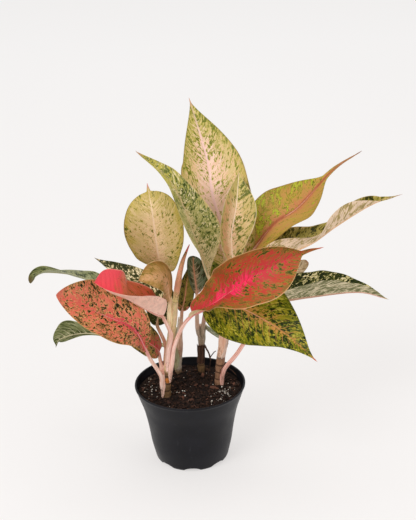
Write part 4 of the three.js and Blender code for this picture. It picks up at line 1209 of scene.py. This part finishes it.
for k in range(POT["notches"]):
    angle = (k + 0.5) * pitch - math.pi / 2 + pitch / 2
    x, y = math.cos(angle) * POT["drain_ring"], math.sin(angle) * POT["drain_ring"]
    ends = np.array([(x, y, -3.0), (x, y, POT["floor"] + 3)])
    upward = np.tile([0.0, 0.0, 1.0], (2, 1))
    drill.tube(ends, upward, [POT["drain_radius"]] * 2, 24, 0, np.zeros((2, 2)))
cutter = drill.make("drill", [])
cut = pot_piece.modifiers.new("drains", "BOOLEAN")
cut.object, cut.solver = cutter, "EXACT"
bpy.context.view_layer.update()
graph = bpy.context.evaluated_depsgraph_get()
drilled = bpy.data.meshes.new_from_object(pot_piece.evaluated_get(graph))
pot_piece.modifiers.clear()
pot_piece.data = drilled
pot_piece.data.name = "pot_shell"
bpy.data.objects.remove(cutter)
finish_piece(pot_piece, "pot_plastic", "pot")

# ---------------------------------------------------------------- soil

rng = np.random.default_rng(11)


def soil_level(x, y):
    """The height of the soil without its crumbs."""
    swell = math.sin(x * 0.21 + 1.3) * math.cos(y * 0.17 - 0.4)
    return SOIL_TOP + SOIL_LUMP * (swell + 0.6 * math.sin(x * 0.43 - y * 0.37)) * 0.6


soil_edge = float(wall_radius(SOIL_TOP)) - POT["wall"] - GAP
RINGS, SIDES = 58, 200
turn = np.arange(SIDES) / SIDES * 2 * math.pi
BOTTOM = POT["floor"] + GAP
BELOW = (BOTTOM, BOTTOM, 22, 42, 60, 76)  # heights of the rings under the soil's top
rings = np.zeros((RINGS + len(BELOW), SIDES, 3))
stamps = np.zeros(rings.shape[:2] + (4,))
for i, z in enumerate(BELOW):
    r = 0.05 if i == 0 else float(wall_radius(max(z, 8))) - POT["wall"] - (2.2 if i == 1 else 0.65)
    rings[i] = around((0, 0), turn, r, np.full(SIDES, float(z)))
for i, r in enumerate(np.linspace(0.05, soil_edge, RINGS)[::-1]):
    for j, a in enumerate(turn):
        x, y = math.cos(a) * r, math.sin(a) * r
        here = Vector((x, y, 0.0))
        coarse = noise.fractal(here * 0.16, 0.9, 2.1, 4)
        crumb = noise.fractal(here * 0.55 + Vector((7.0, 3.0, 1.0)), 0.8, 2.0, 3)
        fade = min(1.0, (soil_edge - r) / 5 + 0.25)
        level = soil_level(x, y) + fade * (1.1 * coarse + 1.0 * crumb)
        rings[i + len(BELOW), j] = (x, y, level)
shell = Shell()
shell.loft(rings, lambda i, j: 0, stamps)
paint = Paint("soil_paint", roughness=0.9, specular=0.2)
at = paint.place()
clump = paint.noise(at, 260.0, 5.0, 0.7)
fleck = paint.cells(at, 520.0)
colour = paint.mix(paint.step(clump, 0.35, 0.65), (14, 8, 6), (44, 28, 20))
colour = paint.mix(paint.step(fleck, 0.12, 0.2, 0.5, 0.0), colour, (80, 54, 40))
paint.colour(colour)
paint.bump(paint.plus(clump, fleck), 0.0012, 0.8)
finish_piece(shell.make("soil_body", [paint.material], sharp=80), "potting_soil", "soil")

OFF_WALL, OFF_CANE = 3.0, 6.5
HEAP_SPREAD = 6, 7
PERLITE_HEAPS = ((-50, 21), (-41, -3), (-15, -14), (41, -6), (34, -29), (36, -14))


def ground_spots(count, heaps):
    """Places on the soil, off the canes and the wall, most of them near the heaps, if any."""
    reach = soil_edge - OFF_WALL
    feet = [path[1] for path, _, _ in STEMS.values()]
    spots = []
    while len(spots) < count:
        r, a = math.sqrt(rng.random()) * reach, rng.random() * 2 * math.pi
        x, y = r * math.cos(a), r * math.sin(a)
        if heaps and len(spots) % 4:
            middle = heaps[len(spots) % len(heaps)]
            x, y = (m + rng.normal() * spread for m, spread in zip(middle, HEAP_SPREAD))
        free = all(math.hypot(x - foot[0], y - foot[1]) > OFF_CANE for foot in feet)
        if free and math.hypot(x, y) < reach:
            spots.append((x, y))
    return spots


CRUMB_ROUGHNESS = 0.35
CRUMB_TILT = 0.35  # radians


def crumbs(name, count, sizes, flat, long, paint, sink, detail=1, heaps=()):
    """Small irregular bodies lying on the soil, as one mesh. flat and long are shares of a size."""
    shell = Shell()
    for x, y in ground_spots(count, heaps):
        size = sizes[0] + (sizes[1] - sizes[0]) * rng.random() ** 2
        body = bmesh.new()
        bmesh.ops.create_icosphere(body, subdivisions=detail, radius=1.0)
        points = np.array([v.co for v in body.verts])
        faces = [tuple(v.index for v in f.verts) for f in body.faces]
        body.free()
        points = points * (1 + CRUMB_ROUGHNESS * (rng.random((len(points), 1)) - 0.5))
        scale = [1 + long * rng.random(), 1.0, flat * (0.7 + 0.6 * rng.random())]
        scale = np.array(scale) * size / 2
        tilt_x = Matrix.Rotation(rng.normal() * CRUMB_TILT, 3, "X")
        tilt_y = Matrix.Rotation(rng.normal() * CRUMB_TILT, 3, "Y")
        spin = Matrix.Rotation(rng.random() * 2 * math.pi, 3, "Z") @ (tilt_x @ tilt_y)
        points = (points * scale) @ np.array(spin).T
        points = points + np.array([x, y, soil_level(x, y) + size * flat * 0.5 - sink])
        tone = rng.random()
        tags = np.tile([tone, size, tone, 0.0], (len(points), 1))
        shell.add(points, faces, [0] * len(faces), tags)
    return finish_piece(shell.make(name, [paint], smooth_shading=detail > 1), "potting_soil")


def tone_paint(name, dark, light, roughness, grain_scale):
    """A grainy material with a tone of its own for each body."""
    paint = Paint(name, roughness, 0.25)
    tone, _, _ = paint.marks()
    at = paint.place()
    grain = paint.noise(at, grain_scale, 3.0, 0.6)
    colour = paint.mix(tone, dark, light)
    paint.colour(paint.shade(colour, paint.step(grain, 0.3, 0.7, 0.8, 1.15)))
    paint.bump(grain, 0.0005, 0.6)
    return paint.material


crumbs("peat_crumbs", count=1100, sizes=(1.0, 3.4), flat=0.7, long=0.7, sink=0.2,
       paint=tone_paint("peat_paint", (13, 8, 6), (72, 48, 36), 0.95, 700.0))
crumbs("bark_chips", count=60, sizes=(2.4, 6.5), flat=0.28, long=1.4, sink=0.0,
       paint=tone_paint("bark_paint", (34, 18, 13), (104, 66, 50), 0.8, 420.0))
crumbs("perlite_grains", count=110, sizes=(0.8, 2.2), flat=0.85, long=0.4, sink=-0.3, detail=2,
       heaps=PERLITE_HEAPS,
       paint=tone_paint("perlite_paint", (142, 130, 116), (218, 212, 202), 0.9, 900.0))

# ---------------------------------------------------------------- floor, camera and lights

mesh = bpy.data.meshes.new("floor")
FLOOR_REACH = 14.0
corners = [(x * FLOOR_REACH, y * FLOOR_REACH, 0) for x, y in ((-1, -1), (1, -1), (1, 1), (-1, 1))]
mesh.from_pydata(corners, [], [(0, 1, 2, 3)])
floor = in_scene("floor", mesh)
# The floor glows, a little darker toward the front and with faint blotches. This is painted light
# and shade that stands in for the studio's falloff, and the glow also washes out the shadows that
# the lamps cast on the floor.
paint = Paint("floor_paint", roughness=0.9, specular=0.0)
at = paint.place()
split = paint.node("ShaderNodeSeparateXYZ")
paint.put(split.inputs[0], at)
cloudy = paint.noise(at, 1.1, 1.0, 0.4)
painted_falloff = paint.line(cloudy, 0.3, paint.step(split.outputs[1], -0.2, 2.6))
paint.colour(paint.mix(painted_falloff, (150, 149, 148), (142, 141, 140)))
paint.put(paint.shader.inputs["Emission Color"], paint.mix(painted_falloff, (236, 232, 230), (255, 253, 252)))
paint.shader.inputs["Emission Strength"].default_value = 0.69
mesh.materials.append(paint.material)

PITCH, ROLL = math.radians(23.2), math.radians(-1.6)
CAMERA_PLACE = (0.02458, -1.31758, 0.8105)
LIGHT_TARGET = (0, 0, 0.2)
camera_data = bpy.data.cameras.new("camera")
camera_data.lens = 90
camera_data.sensor_width = 36
camera_data.clip_end = 60
camera = in_scene("camera", camera_data)
ahead = Vector((0, math.cos(PITCH), -math.sin(PITCH)))
level = Vector((1, 0, 0))
above = level.cross(ahead)
right = math.cos(ROLL) * level + math.sin(ROLL) * above
upward = -math.sin(ROLL) * level + math.cos(ROLL) * above
frame_of = Matrix((right, upward, -ahead)).transposed().to_4x4()
camera.matrix_world = Matrix.Translation(CAMERA_PLACE) @ frame_of
bpy.context.scene.camera = camera

LIGHTS = {  # place, diameter and power
    "key": ((-1.1, -1.5, 1.9), 1.4, 31),
    "fill": ((1.7, -1.3, 1.2), 1.6, 10),
    "top": ((0.1, 0.5, 2.1), 1.8, 14),
}
for name, (place, size, power) in LIGHTS.items():
    data = bpy.data.lights.new(name, "AREA")
    data.shape, data.size, data.energy = "DISK", size, power
    lamp = in_scene(name, data)
    aim = (Vector(LIGHT_TARGET) - Vector(place)).to_track_quat("-Z", "Y")
    lamp.matrix_world = Matrix.Translation(place) @ aim.to_matrix().to_4x4()
world = bpy.data.worlds.new("studio")
bpy.context.scene.world = world
world.use_nodes = True
background = world.node_tree.nodes["Background"]
background.inputs["Color"].default_value = (0.93, 0.93, 0.94, 1)
background.inputs["Strength"].default_value = 0.62
bpy.context.scene.view_settings.view_transform = "Standard"
